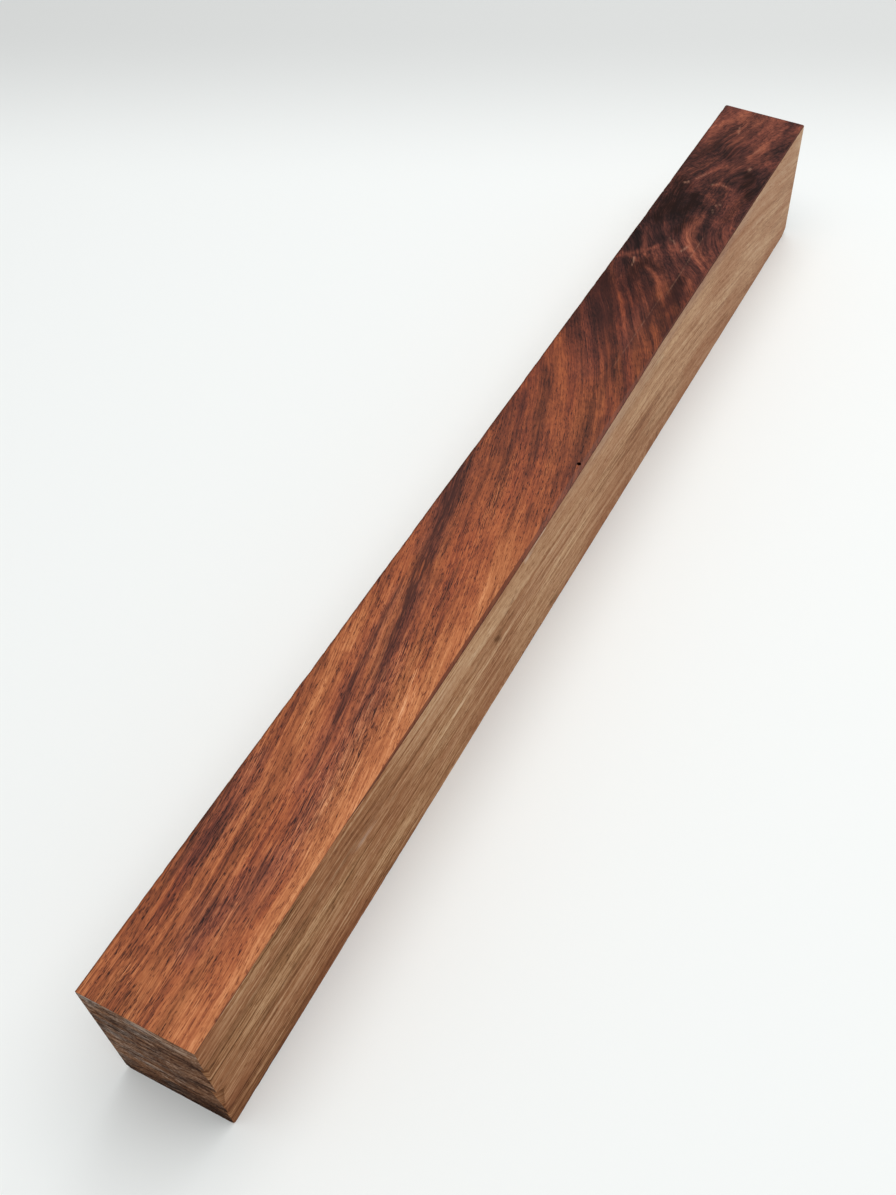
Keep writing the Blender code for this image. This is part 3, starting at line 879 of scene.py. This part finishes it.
def rough_up(block, settings):
    """Saw marks and raised fibres on the sides and ends, and small dents along the arrises."""
    mesh = block.data
    places = read_vectors(mesh.vertices, "co")
    normals = read_vectors(mesh.vertices, "normal")
    along, across, down = measure(places)
    way = round_the_block(places)

    # Across the sides and the underside the saw left shallow slanting marks
    pitch = settings.saw_mark_pitch / MM
    phase = along + SAW_SLANT * way + 1.4 * hills(along, way, 31, 45, seed=1)
    marks = 0.5 + 0.5 * np.sin(2 * math.pi * phase / pitch)
    marks *= smooth(0.55 + 0.8 * hills(along, way, 42, 26, seed=2))
    fibres = 0.5 + 0.5 * hills(along, way, 13, 1.9, seed=3)
    sawn = settings.saw_mark_depth * marks + SAWN_FIBRES * fibres

    # The ends are rougher: ridges along the growth layers, crossed by fine torn fibres
    torn = 0.5 + 0.5 * hills(across, down, 5.0, 1.9, seed=4)
    torn += 0.5 * (0.5 + 0.5 * hills(across, down, 1.5, 1.4, seed=5))
    ends = TORN_ENDS * torn

    # The planed face only rises and falls a little
    planed = PLANER_WAVES * (0.5 + 0.5 * hills(along, across, 24, 7, seed=6))

    is_end = np.abs(normals[:, 0]) > FACING
    is_top = normals[:, 2] > FACING
    depth = np.where(is_end, ends, np.where(is_top, planed, sawn))
    depth[(np.abs(normals[:, 1]) < FACING) & (np.abs(normals[:, 2]) < FACING) & ~is_end] = 0.0
    places -= normals * depth[:, None]

    # The long arrises are dented here and there
    for side, level, seed in LONG_ARRISES:
        edge_across = WIDTH / MM + swell_at(along * MM) / MM * (1 - level) if side else 0.0
        edge_down = HEIGHT / MM if level else 0.0
        reach = np.hypot(across - edge_across, down - edge_down)
        dent = np.zeros_like(along)
        for length, deepest, step in DENTS:
            dent += np.clip(hills(along, along * 0, length, 1, seed + step) - DENT_ABOVE, 0.0, 1.0) * deepest
        dent *= np.exp(-((reach / DENT_REACH) ** 2)) * MM
        places[:, 1] += np.where(side, dent, -dent)
        places[:, 2] += np.where(level, dent, -dent)
    places[:, 2] = np.maximum(places[:, 2], 0.0)
    write_places(mesh, places)


def level_lines(along, stations):
    """Add up a slope that is given at a few stations, into the drift of the grain at each place."""
    fine = np.arange(0.0, LENGTH / MM + 1.0, 1.0)
    slopes = read_between(fine, stations)
    drift = np.concatenate([[0.0], np.cumsum((slopes[1:] + slopes[:-1]) / 2)])
    return np.interp(along, fine, drift)


def covered(strokes, along, across, seed):
    """How strongly drawn strokes cover each place: most at a stroke's heart, fading out on both sides."""
    cover = np.zeros_like(along)
    fray = 1.0 + 0.35 * hills(along, across, 5.0, 1.1, seed) + 0.2 * hills(along, across, 2.0, 0.9, seed + 1)
    for stroke in strokes:
        for (a, b, half), (next_a, next_b, next_half) in zip(stroke.path, stroke.path[1:]):
            run, climb = next_a - a, next_b - b
            share = ((along - a) * run + (across - b) * climb) / (run * run + climb * climb)
            share = np.clip(share, 0.0, 1.0)
            gap = np.hypot(along - a - share * run, across - b - share * climb)
            half_width = (half + (next_half - half) * share) * fray
            here = stroke.strength * np.exp(-((gap / half_width / STROKE_FADE) ** 2))
            cover = np.maximum(cover, here)
    return cover


def write_attribute(mesh, name, columns):
    """Store three numbers for each vertex under a name that the finishes read."""
    layer = mesh.attributes.new(name, "FLOAT_VECTOR", "POINT")
    layer.data.foreach_set("vector", np.stack(columns, axis=1).astype(np.float32).ravel())


def gnarled(along, across):
    """How knotty the wood is at each place, from 0 to 1, and how far its grain is pushed both ways."""
    knotty = rise(along, KNOTTY_FROM, KNOTTY_TO)
    push_along = knotty * 6.0 * hills(along, across, 24, 15, seed=42)
    push_across = 0.45 * hills(along, across, 20, 6, seed=40)
    swirls = 3.6 * hills(along, across, 26, 13, seed=41) + 0.9 * hills(along, across, 9, 6, seed=43)
    push_across += knotty * swirls
    return knotty, push_along, push_across


def draw_top(mesh, along, across):
    """Store the grain, the tone and the drawn figure of the planed top."""
    knotty, push_along, push_across = gnarled(along, across)
    level = across + level_lines(along, TOP_SLOPES) + push_across
    running = along + push_along
    warm = covered(WARM_FIGURE, along, across, seed=33)
    plum = covered(PLUM_FIGURE, along, across, seed=39)
    dark = covered(DARK_FIGURE, along, across, seed=31)
    pale = covered(PALE_FLECKS, along, across, seed=35)

    # The tone along the blank, paler on the right and darker on the left
    tone = read_between(along, TOP_TONE)
    tone += read_between(along, RIGHT_PALER) * rise(across, 26.0, 36.0)
    tone -= read_between(along, LEFT_DARKER) * rise(across, 24.0, 12.0)

    # Growth layers, boldest just before the knotty wood, and blotches where it is knotty
    banded = 1.0 + 1.2 * np.exp(-(((along - 312.0) / 34.0) ** 2))
    tone += (0.06 + 0.04 * knotty) * hills(running, level, 55, 4.6, seed=51)
    tone += banded * 0.06 * hills(running, level, 30, 1.8, seed=52)
    blotches = 0.11 * hills(along, across, 11, 5.5, seed=53) + 0.06 * hills(running, level, 5, 2.2, seed=57)
    tone += knotty * blotches
    tone += 0.04 * hills(along, across, 6, 5, seed=58)
    tone += (0.14 + 0.12 * knotty) * warm - 0.07 * plum

    # Redder towards the left-hand side until the wood turns knotty, and golden in the warm strokes
    red = read_between(along, TOP_REDNESS) + 0.25 * (1.0 - knotty) * rise(across, 30.0, 22.0)
    red += 0.35 * hills(running, level, 45, 4.0, seed=54) - 0.25 * (1.0 - knotty) * warm
    crowded = 0.25 + 0.35 * hills(along, level, 22, 3.0, seed=55)
    crowded = crowded + covered(CROWDED_VESSELS, along, across, seed=37)

    # The facet: 1 at its inner edge and 0 at the arris
    arris = WIDTH / MM + swell_at(along * MM) / MM
    facet_width = np.maximum(arris - read_between(along, FACET_STARTS), THIN)
    facet = np.clip((arris - across) / facet_width, 0.0, 6.0)

    write_attribute(mesh, "top_grain", (running, level, across))
    write_attribute(mesh, "top_tone", (tone, np.clip(red, 0.0, 1.0), read_between(along, TOP_FIBRES)))
    write_attribute(mesh, "top_figure", (dark, pale, np.maximum(plum, 1.1 * knotty)))
    write_attribute(mesh, "top_place", (across, facet, knotty))
    write_attribute(mesh, "top_vessels", (np.clip(crowded, -0.4, 1.0), arris - across, along))


def draw_sides(mesh, along, down, way):
    """Store the grain, the tone and the drawn figure of the sawn sides and underside."""
    level = way - level_lines(along, SIDE_SLOPES) + 0.6 * hills(along, way, 30, 9, seed=61)
    on_right = way < HEIGHT / MM
    # The dark strokes are figure, and painted shade in the breakout notches at the near end
    dark = np.where(on_right, covered(SIDE_DARK_FIGURE_AND_SHADE, along, down, seed=63), 0.0)
    pale = np.where(on_right, covered(SIDE_PALE_FIGURE, along, down, seed=65), 0.0)

    # Paler in the upper part past the near end, more so at the far end, and darker in the near foot
    tone = read_between(along, SIDE_TONE) + 0.10 * hills(along, level, 75, 5.5, seed=62)
    tone += 0.08 * rise(way, 26.0, 14.0) * rise(along, 60.0, 140.0)
    tone -= 0.08 * rise(way, 40.0, 48.0) * rise(along, 120.0, 60.0)
    tone += 0.08 * rise(along, 400.0, 460.0) * rise(way, 24.0, 16.0)

    # A dull grey bloom just under the planed top, from the middle of the length on
    bloom = rise(way, 9.0, 3.0) * rise(along, 200.0, 280.0) * rise(along, 470.0, 390.0)
    bloom *= 0.6 + 0.4 * hills(along, way, 14, 5, seed=64)

    # Redder in patches, along the foot and beside the near end
    redder = smooth(0.45 + 0.7 * hills(along, way, 34, 9, seed=66))
    redder += 0.35 * rise(way, 50.0, 56.0) + 0.4 * rise(along, 20.0, 4.0)

    # The streaks are boldest towards the near end, and past it half-way down the side
    bold = 1.0 - 0.3 * rise(along, 120.0, 380.0)
    bold *= 1.0 - 0.35 * rise(np.abs(way - 29.0), 7.0, 15.0) * rise(along, 90.0, 150.0)
    write_attribute(mesh, "side_figure_and_shade", (dark, pale, bloom))
    write_attribute(mesh, "side_grain", (along, level, way))
    write_attribute(mesh, "side_tone", (tone, redder, bold))


def draw_ends(mesh, across, down, far):
    """Store how the growth layers run across the ends, and how pale they are."""
    level = down + 0.05 * across + 1.7 * hills(across, down + 320 * far, 10, 8, seed=71)
    tone = read_between(level, END_TONE) + 0.10 * hills(across, level, 14, 3.0, seed=72)
    tone += 0.10 * hills(across, down, 5, 5, seed=74)
    # Cracks, and painted shade in the torn hollows beside the breakouts, darken the near end
    tone -= 0.32 * covered(END_CRACKS_AND_SHADE, across, down, seed=73) * ~far
    write_attribute(mesh, "end_grain", (across, level, tone))


def draw_grain(block):
    """Store on each vertex how the wood runs there, for the finishes to read."""
    mesh = block.data
    places = read_vectors(mesh.vertices, "co")
    along, across, down = measure(places)
    draw_top(mesh, along, across)
    draw_sides(mesh, along, down, round_the_block(places))
    draw_ends(mesh, across, down, along > LENGTH / MM / 2)


def map_for_baking(block):
    """Lay the surface out flat at one scale: each long face in two lengths, with the ends beside them."""
    mesh = block.data
    layer = mesh.uv_layers.new(name="OFBake")
    corners = np.empty(len(mesh.loops), np.int32)
    mesh.loops.foreach_get("vertex_index", corners)
    sides = np.empty(len(mesh.polygons), np.int32)
    mesh.polygons.foreach_get("loop_total", sides)
    normals = np.repeat(read_vectors(mesh.polygons, "normal"), sides, axis=0)
    centres = np.repeat(read_vectors(mesh.polygons, "center"), sides, axis=0)

    along, across, down = measure(read_vectors(mesh.vertices, "co")[corners])
    facing = np.argmax(np.abs(normals), axis=1)
    towards = normals[np.arange(len(normals)), facing] > 0
    second_length = measure(centres)[0] > MAP_SPLIT
    u = np.zeros(len(corners))
    v = np.zeros(len(corners))
    for face in MAP_ROWS:
        here = (facing == face.axis) & (towards == face.positive)
        over = down if face.axis == 1 else across
        first = here & ~second_length
        u[first] = along[first] + MAP_GAP
        v[first] = over[first] + face.row
        rest = here & second_length
        u[rest] = along[rest] - MAP_SPLIT + face.column
        v[rest] = over[rest] + face.shelf
    for positive, shelf in zip((False, True), MAP_END_SHELVES):
        here = (facing == 0) & (towards == positive)
        u[here] = across[here] + MAP_END_COLUMN
        v[here] = down[here] + shelf
    layer.data.foreach_set("uv", (np.stack([u, v], axis=1) / MAP_SIDE).astype(np.float32).ravel())


def new_finish(name):
    """A material with nodes: itself, its node tree and its main shader."""
    material = bpy.data.materials.new(name)
    material.use_nodes = True
    tree = material.node_tree
    return material, tree, tree.nodes["Principled BSDF"]


def make_dry(shader):
    """Let a finish look like wood straight off the saw, which hardly shines."""
    shader.inputs["Roughness"].default_value = SAWN_ROUGHNESS
    shader.inputs["Specular IOR Level"].default_value = SAWN_SHINE


def raise_fibres(tree, shader, tone, strength, depth):
    """Let the pale fibres of a finish stand up from the dark ones, by this depth."""
    bump = add_node(tree, "ShaderNodeBump", {"Height": tone, "Strength": strength, "Distance": depth})
    tree.links.new(bump.outputs["Normal"], shader.inputs["Normal"])


def read_numbers(tree, name):
    """The three numbers that an attribute of the mesh holds at each place."""
    place = add_node(tree, "ShaderNodeAttribute", attribute_name=name).outputs["Vector"]
    return add_node(tree, "ShaderNodeSeparateXYZ", {"Vector": place}).outputs


def grain_noise(tree, grain, pattern, detail, roughness):
    """Noise from 0 to 1, drawn out along the grain to the length and width of a pattern."""
    shift = tuple(pattern.seed * step for step in SEED_STEPS)
    stretch = {0: grain, 1: (1.0 / pattern.length, 1.0 / pattern.width, 0.0), 2: shift}
    place = add_node(tree, "ShaderNodeVectorMath", stretch, operation="MULTIPLY_ADD").outputs[0]
    look = {"Vector": place, "Scale": 1.0, "Detail": detail, "Roughness": roughness}
    return add_node(tree, "ShaderNodeTexNoise", look).outputs["Fac"]


def lay_streaks(tree, tone, grain, streaks, reach=1.0):
    """Make a tone paler and darker in streaks, wherever they reach."""
    noise = grain_noise(tree, grain, streaks, detail=2.0, roughness=0.65)
    ends = {"To Min": -streaks.strength, "To Max": streaks.strength}
    spread = {"Value": noise, "From Min": NOISE_LOW, "From Max": NOISE_HIGH, **ends}
    wave = add_node(tree, "ShaderNodeMapRange", spread, clamp=False).outputs["Result"]
    return add_node(tree, "ShaderNodeMath", {0: wave, 1: reach, 2: tone}, operation="MULTIPLY_ADD").outputs[0]


def vessel_lines(tree, grain, vessels, crowded):
    """1 inside short dashes along the grain, 0 between; more of them where they crowd."""
    noise = grain_noise(tree, grain, vessels, detail=1.0, roughness=0.5)
    share = {0: crowded, 1: CROWDING, 2: noise}
    more = add_node(tree, "ShaderNodeMath", share, operation="MULTIPLY_ADD").outputs[0]
    edge = {"Value": more, "From Min": DASHES_FROM, "From Max": DASHES_FULL}
    return add_node(tree, "ShaderNodeMapRange", edge).outputs["Result"]


def stain(tree, colour, tint, amount):
    """Lay a tint over a colour, by an amount from 0 to 1."""
    inputs = {MIX_AMOUNT: amount, MIX_UNDER: colour, MIX_OVER: tint}
    return add_node(tree, "ShaderNodeMix", inputs, data_type="RGBA").outputs[MIX_COLOUR]


def wood_colours(tree, tone, colours, tint):
    """Turn a tone from 0 to 1 into the wood's colours, tinted, and spaced evenly from dark to pale."""
    ramp = add_node(tree, "ShaderNodeValToRGB", {"Fac": tone})
    stops = ramp.color_ramp.elements
    while len(stops) < len(colours):
        stops.new(0.5)
    for index, colour in enumerate(colours):
        stops[index].position = index / (len(colours) - 1)
    for index, colour in enumerate(colours):
        stops[index].color = [part * share for part, share in zip(linear(colour), (*tint, 1.0))]
    return ramp.outputs["Color"]


def frayed(tree, cover, grain, fibres):
    """Break drawn strokes up into fibres along the grain, which cover them by their strength at most."""
    broken = lay_streaks(tree, FRAY_MIDDLE, grain, fibres._replace(strength=FRAY_MIDDLE))
    share = add_node(tree, "ShaderNodeMath", {0: cover, 1: broken}, operation="MULTIPLY").outputs[0]
    edge = {"Value": share, "From Min": FRAY_FROM, "From Max": FRAY_FULL, "To Max": fibres.strength}
    return add_node(tree, "ShaderNodeMapRange", edge).outputs["Result"]


def planed_top(settings):
    """Bubinga heartwood, planed: a red-brown satin, with dark vessel lines and purple-black figure."""
    material, tree, shader = new_finish("planed bubinga heartwood")
    grain = add_node(tree, "ShaderNodeAttribute", attribute_name="top_grain").outputs["Vector"]
    tone, red, fibres = read_numbers(tree, "top_tone")
    dark, pale, plum = read_numbers(tree, "top_figure")
    across, facet, knotty = read_numbers(tree, "top_place")
    crowded, from_arris, along = read_numbers(tree, "top_vessels")

    # Growth layers and fibres, a fine mottle all over, and a bolder one where the wood is knotty
    for streaks in TOP_FIBRE_STREAKS:
        tone = lay_streaks(tree, tone, grain, streaks, fibres)
    tone = lay_streaks(tree, tone, grain, TOP_MOTTLE)
    for streaks in KNOTTY_MOTTLE:
        tone = lay_streaks(tree, tone, grain, streaks, knotty)

    # Real vessel lines are about 0.3 mm wide, which just shows. They fade towards the knotty wood
    short = vessel_lines(tree, grain, SHORT_VESSELS, crowded)
    long = vessel_lines(tree, grain, LONG_VESSELS, crowded)
    share = {0: short, 1: SHORT_VESSELS.strength}
    short = add_node(tree, "ShaderNodeMath", share, operation="MULTIPLY").outputs[0]
    share = {0: long, 1: LONG_VESSELS.strength, 2: short}
    vessels = add_node(tree, "ShaderNodeMath", share, operation="MULTIPLY_ADD").outputs[0]
    faded = {"Value": along, "From Min": 240.0, "From Max": 340.0, "To Min": 1.0, "To Max": 0.4}
    faded = add_node(tree, "ShaderNodeMapRange", faded).outputs["Result"]
    vessels = add_node(tree, "ShaderNodeMath", {0: vessels, 1: faded}, operation="MULTIPLY").outputs[0]
    tone = add_node(tree, "ShaderNodeMath", {0: tone, 1: vessels}, operation="SUBTRACT").outputs[0]

    # Between the crowded vessels the fibres stand out pale
    lines = vessel_lines(tree, grain, PALE_LINES, crowded)
    lines = add_node(tree, "ShaderNodeMath", {0: lines, 1: crowded}, operation="MULTIPLY").outputs[0]
    share = {0: lines, 1: PALE_LINES.strength, 2: tone}
    tone = add_node(tree, "ShaderNodeMath", share, operation="MULTIPLY_ADD").outputs[0]

    golden = wood_colours(tree, tone, GOLDEN_WOOD, settings.heartwood)
    reddish = wood_colours(tree, tone, REDDISH_WOOD, settings.heartwood)
    duller = wood_colours(tree, tone, DULLER_WOOD, settings.heartwood)
    colour = stain(tree, golden, reddish, red)
    plum = add_node(tree, "ShaderNodeMath", {0: plum, 1: 0.55}, operation="MULTIPLY").outputs[0]
    colour = stain(tree, colour, duller, plum)

    # The drawn figure is purple-black in the plain wood and brown-black where it is knotty
    darkest = stain(tree, linear(DARK_FIGURE_WOOD), linear(KNOTTY_FIGURE_WOOD), knotty)
    colour = stain(tree, colour, darkest, frayed(tree, dark, grain, TOP_DARK_FIBRES))
    colour = stain(tree, colour, linear(FLECK_WOOD), frayed(tree, pale, grain, TOP_PALE_FIBRES))

    # The facet along the swollen arris turns paler and fainter past the place where it widens
    widens = {"Value": along, "From Min": FACET_PALES_FROM, "From Max": FACET_PALES_TO}
    paler = add_node(tree, "ShaderNodeMapRange", widens).outputs["Result"]
    facet_wood = stain(tree, linear(NEAR_FACET_WOOD), linear(FAR_FACET_WOOD), paler)
    fainter = {**widens, "To Min": 1.0, "To Max": 0.6}
    fainter = add_node(tree, "ShaderNodeMapRange", fainter).outputs["Result"]
    on_facet = {"Value": facet, "From Min": 1.05, "From Max": 0.93, "To Max": 0.8}
    on_facet = add_node(tree, "ShaderNodeMapRange", on_facet).outputs["Result"]
    on_facet = add_node(tree, "ShaderNodeMath", {0: on_facet, 1: fainter}, operation="MULTIPLY").outputs[0]
    colour = stain(tree, colour, facet_wood, on_facet)

    # Painted shade: a thin dark band along the two long arrises of the top
    left_arris_shade = {"Value": across, "From Min": 0.9, "From Max": 0.2, "To Max": 0.7}
    left_arris_shade = add_node(tree, "ShaderNodeMapRange", left_arris_shade).outputs["Result"]
    colour = stain(tree, colour, linear(LEFT_ARRIS_PAINTED_SHADE), left_arris_shade)
    right_arris_shade = {"Value": from_arris, "From Min": 0.4, "From Max": 0.15, "To Max": 0.5}
    right_arris_shade = add_node(tree, "ShaderNodeMapRange", right_arris_shade).outputs["Result"]
    colour = stain(tree, colour, linear(RIGHT_ARRIS_PAINTED_SHADE), right_arris_shade)
    tree.links.new(colour, shader.inputs["Base Color"])

    # The knotty wood was planed against its grain and shines less, and the worn left arris hardly
    shader.inputs["Roughness"].default_value = PLANED_ROUGHNESS
    sheen = {"Value": along, "From Min": 250.0, "From Max": 350.0, "To Min": 0.12, "To Max": 0.04}
    sheen = add_node(tree, "ShaderNodeMapRange", sheen).outputs["Result"]
    worn = {"Value": across, "From Min": 0.3, "From Max": 1.0}
    worn = add_node(tree, "ShaderNodeMapRange", worn).outputs["Result"]
    sheen = add_node(tree, "ShaderNodeMath", {0: sheen, 1: worn}, operation="MULTIPLY").outputs[0]
    tree.links.new(sheen, shader.inputs["Specular IOR Level"])
    raise_fibres(tree, shader, tone, strength=0.5, depth=0.08 * MM)
    return material


def sawn_side(settings):
    """Bubinga straight off the saw: dry, fuzzy, paler than the planed wood and quite without gloss."""
    material, tree, shader = new_finish("rough-sawn bubinga side grain")
    grain = add_node(tree, "ShaderNodeAttribute", attribute_name="side_grain").outputs["Vector"]
    along = add_node(tree, "ShaderNodeSeparateXYZ", {"Vector": grain}).outputs[0]
    tone, redder, bold = read_numbers(tree, "side_tone")
    dark, pale, bloom = read_numbers(tree, "side_figure_and_shade")
    for streaks in SIDE_STREAKS:
        tone = lay_streaks(tree, tone, grain, streaks, bold)
    for streaks in SIDE_MOTTLE:
        tone = lay_streaks(tree, tone, grain, streaks)
    vessels = vessel_lines(tree, grain, SIDE_VESSELS, SIDE_CROWDED)
    share = {0: vessels, 1: SIDE_VESSELS.strength, 2: tone}
    tone = add_node(tree, "ShaderNodeMath", share, operation="MULTIPLY_ADD").outputs[0]
    colour = wood_colours(tree, tone, SAWN_WOOD, settings.sawn_wood)

    # Greyer towards the far end, redder and dull in patches, and then the drawn figure, with painted shade in
    # the breakout notches at the near end
    grey = {"Value": along, "From Min": 100.0, "From Max": 500.0, "To Max": 0.34}
    grey = add_node(tree, "ShaderNodeMapRange", grey).outputs["Result"]
    colour = stain(tree, colour, linear(GREYER_SIDE_WOOD), grey)
    redder = add_node(tree, "ShaderNodeMath", {0: redder, 1: 0.3}, operation="MULTIPLY").outputs[0]
    colour = stain(tree, colour, linear(REDDER_SIDE_WOOD), redder)
    bloom = add_node(tree, "ShaderNodeMath", {0: bloom, 1: 0.45}, operation="MULTIPLY").outputs[0]
    colour = stain(tree, colour, linear(SIDE_BLOOM), bloom)
    colour = stain(tree, colour, linear(SIDE_DARK_WOOD_AND_SHADE), frayed(tree, dark, grain, SIDE_DARK_FIBRES))
    colour = stain(tree, colour, linear(SIDE_PALE_WOOD), pale)
    tree.links.new(colour, shader.inputs["Base Color"])
    make_dry(shader)
    raise_fibres(tree, shader, tone, strength=0.6, depth=0.25 * MM)
    return material


def sawn_end(settings):
    """Bubinga end grain straight off the saw: open pores that swallow the light, in flat growth layers."""
    material, tree, shader = new_finish("rough-sawn bubinga end grain")
    grain = add_node(tree, "ShaderNodeAttribute", attribute_name="end_grain").outputs["Vector"]
    across, _, tone = add_node(tree, "ShaderNodeSeparateXYZ", {"Vector": grain}).outputs
    for streaks in END_STREAKS:
        tone = lay_streaks(tree, tone, grain, streaks)
    brown = wood_colours(tree, tone, BROWN_END_WOOD, settings.end_wood)
    grey = wood_colours(tree, tone, GREY_END_WOOD, settings.end_wood)

    # Weathered grey in patches, most of all towards the left-hand side
    patches = lay_streaks(tree, 0.45, grain, END_GREY_PATCHES)
    left = {"Value": across, "From Min": 18.0, "From Max": 36.0, "To Min": 1.0, "To Max": 0.25}
    left = add_node(tree, "ShaderNodeMapRange", left).outputs["Result"]
    share = {0: patches, 1: left}
    patches = add_node(tree, "ShaderNodeMath", share, operation="MULTIPLY", use_clamp=True).outputs[0]
    tree.links.new(stain(tree, brown, grey, patches), shader.inputs["Base Color"])
    make_dry(shader)
    raise_fibres(tree, shader, tone, strength=0.6, depth=0.3 * MM)
    return material


def torn_wood(settings):
    """Bubinga where a chip has broken away: splintery and matt, like the sawn side but rougher."""
    material, tree, shader = new_finish("torn bubinga")
    grain = add_node(tree, "ShaderNodeAttribute", attribute_name="side_grain").outputs["Vector"]
    tone = lay_streaks(tree, 0.5, grain, TORN_STREAKS)
    colour = wood_colours(tree, tone, TORN_WOOD, settings.sawn_wood)
    tree.links.new(colour, shader.inputs["Base Color"])
    make_dry(shader)
    return material


def bored_wood():
    """The wall of the pin hole: stained, and painted near black as shade, since it is too deep for light to
    reach.
    """
    material, _, shader = new_finish("stained wall of a pin hole in painted shade")
    shader.inputs["Base Color"].default_value = linear(PIN_HOLE_STAIN_AND_SHADE)
    shader.inputs["Roughness"].default_value = SAWN_ROUGHNESS
    shader.inputs["Specular IOR Level"].default_value = 0.0
    return material


class BUBINGA_OT_blank(bpy.types.Operator):
    """Make the bubinga blank, with its chips, its saw marks and its figured top"""

    bl_idname = "bubinga.blank"
    bl_label = "Blank"

    def execute(self, context):
        settings = context.scene.bubinga_blank
        bpy.ops.object.select_all(action="DESELECT")
        timber = divided_block(settings.arris_ease)
        shape_right_side(timber)
        finishes = (planed_top(settings), sawn_side(settings), sawn_end(settings))
        face_materials(timber, finishes)
        chip_away(timber, finishes[SAWN_SIDE_SLOT], torn_wood(settings), bored_wood())
        rough_up(timber, settings)
        draw_grain(timber)
        map_for_baking(timber)
        bpy.ops.object.shade_smooth_by_angle(angle=SMOOTH_BELOW)
        if len(timber.data.polygons) < STRIPS_ACROSS * STRIPS_DOWN:
            raise RuntimeError("the blank lost its faces when the chips were cut")
        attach(timber, "root")
        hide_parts("bubinga_blank")
        return {"FINISHED"}


class BUBINGA_OT_studio(bpy.types.Operator):
    """Make the pale floor, the two soft lights and the camera"""

    bl_idname = "bubinga.studio"
    bl_label = "Studio"

    def execute(self, context):
        settings = context.scene.bubinga_studio
        bpy.ops.object.select_all(action="DESELECT")
        bpy.ops.mesh.primitive_plane_add(size=PAPER_SIDE, location=(0.0, 0.0, 0.0))
        floor = context.object
        floor.name = "paper_floor"

        # Painted shade: away from the camera the paper is a little darker, as if it started to rise there and
        # turned from the light
        material, tree, shader = new_finish("matt white paper")
        place = add_node(tree, "ShaderNodeTexCoord").outputs["Object"]
        turned = {0: place, 1: AWAY_FROM_CAMERA}
        away = add_node(tree, "ShaderNodeVectorMath", turned, operation="DOT_PRODUCT").outputs["Value"]
        share = {"Value": away, "From Min": PAPER_FALLS_FROM, "From Max": PAPER_FALLS_TO}
        share = add_node(tree, "ShaderNodeMapRange", share, interpolation_type="SMOOTHSTEP").outputs["Result"]
        paper = stain(tree, (*settings.floor_colour, 1.0), linear(FAR_PAPER_SHADE), share)
        tree.links.new(paper, shader.inputs["Base Color"])
        shader.inputs["Roughness"].default_value = 0.9
        floor.data.materials.append(material)

        for name, place, side, power in (
            ("softbox", SOFTBOX_PLACE, settings.softbox_side, settings.softbox_power),
            ("window", WINDOW_PLACE, WINDOW_SIDE, settings.window_power),
        ):
            bpy.ops.object.light_add(type="AREA", location=place)
            light = context.object
            light.name = name
            light.data.energy = power
            light.data.size = side
            light.rotation_euler = (-light.location).to_track_quat("-Z", "Y").to_euler()

        world = bpy.data.worlds.new("even daylight")
        world.use_nodes = True
        backdrop = world.node_tree.nodes["Background"]
        backdrop.inputs["Color"].default_value = (1.0, 1.0, 1.0, 1.0)
        backdrop.inputs["Strength"].default_value = settings.daylight
        context.scene.world = world

        bpy.ops.object.camera_add(location=CAMERA_PLACE, rotation=CAMERA_TURN)
        camera = context.object
        camera.name = "camera"
        camera.data.lens = settings.lens
        camera.data.sensor_width = CAMERA_SENSOR_WIDTH
        camera.data.shift_x, camera.data.shift_y = CAMERA_SHIFT
        camera.data.clip_start = CAMERA_CLIP_START
        context.scene.camera = camera
        context.scene.view_settings.view_transform = "Standard"
        return {"FINISHED"}


class BUBINGA_PT_panel(bpy.types.Panel):
    """Lists the blank and its studio in the 3D view's sidebar"""

    bl_idname = "BUBINGA_PT_panel"
    bl_label = "Bubinga blank"
    bl_space_type = "VIEW_3D"
    bl_region_type = "UI"
    bl_category = "Bubinga"

    def draw(self, context):
        layout = self.layout
        scene = context.scene
        for name in ("arris_ease", "saw_mark_pitch", "saw_mark_depth", "heartwood", "sawn_wood", "end_wood"):
            layout.prop(scene.bubinga_blank, name)
        layout.operator(BUBINGA_OT_blank.bl_idname)
        for name in ("floor_colour", "softbox_power", "softbox_side", "window_power", "daylight", "lens"):
            layout.prop(scene.bubinga_studio, name)
        layout.operator(BUBINGA_OT_studio.bl_idname)


CLASSES = (
    BubingaBlankSettings,
    BubingaStudioSettings,
    BUBINGA_OT_blank,
    BUBINGA_OT_studio,
    BUBINGA_PT_panel,
)


def register():
    """Register the classes and hang their settings on the scene."""
    for cls in CLASSES:
        bpy.utils.register_class(cls)
    bpy.types.Scene.bubinga_blank = bpy.props.PointerProperty(type=BubingaBlankSettings)
    bpy.types.Scene.bubinga_studio = bpy.props.PointerProperty(type=BubingaStudioSettings)


def unregister():
    """Take the settings and the classes away again."""
    del bpy.types.Scene.bubinga_studio
    del bpy.types.Scene.bubinga_blank
    for cls in reversed(CLASSES):
        bpy.utils.unregister_class(cls)


def main():
    """Make the studio and the blank."""
    register()
    bpy.ops.bubinga.studio()
    bpy.ops.bubinga.blank()


if __name__ == "__main__":
    main()
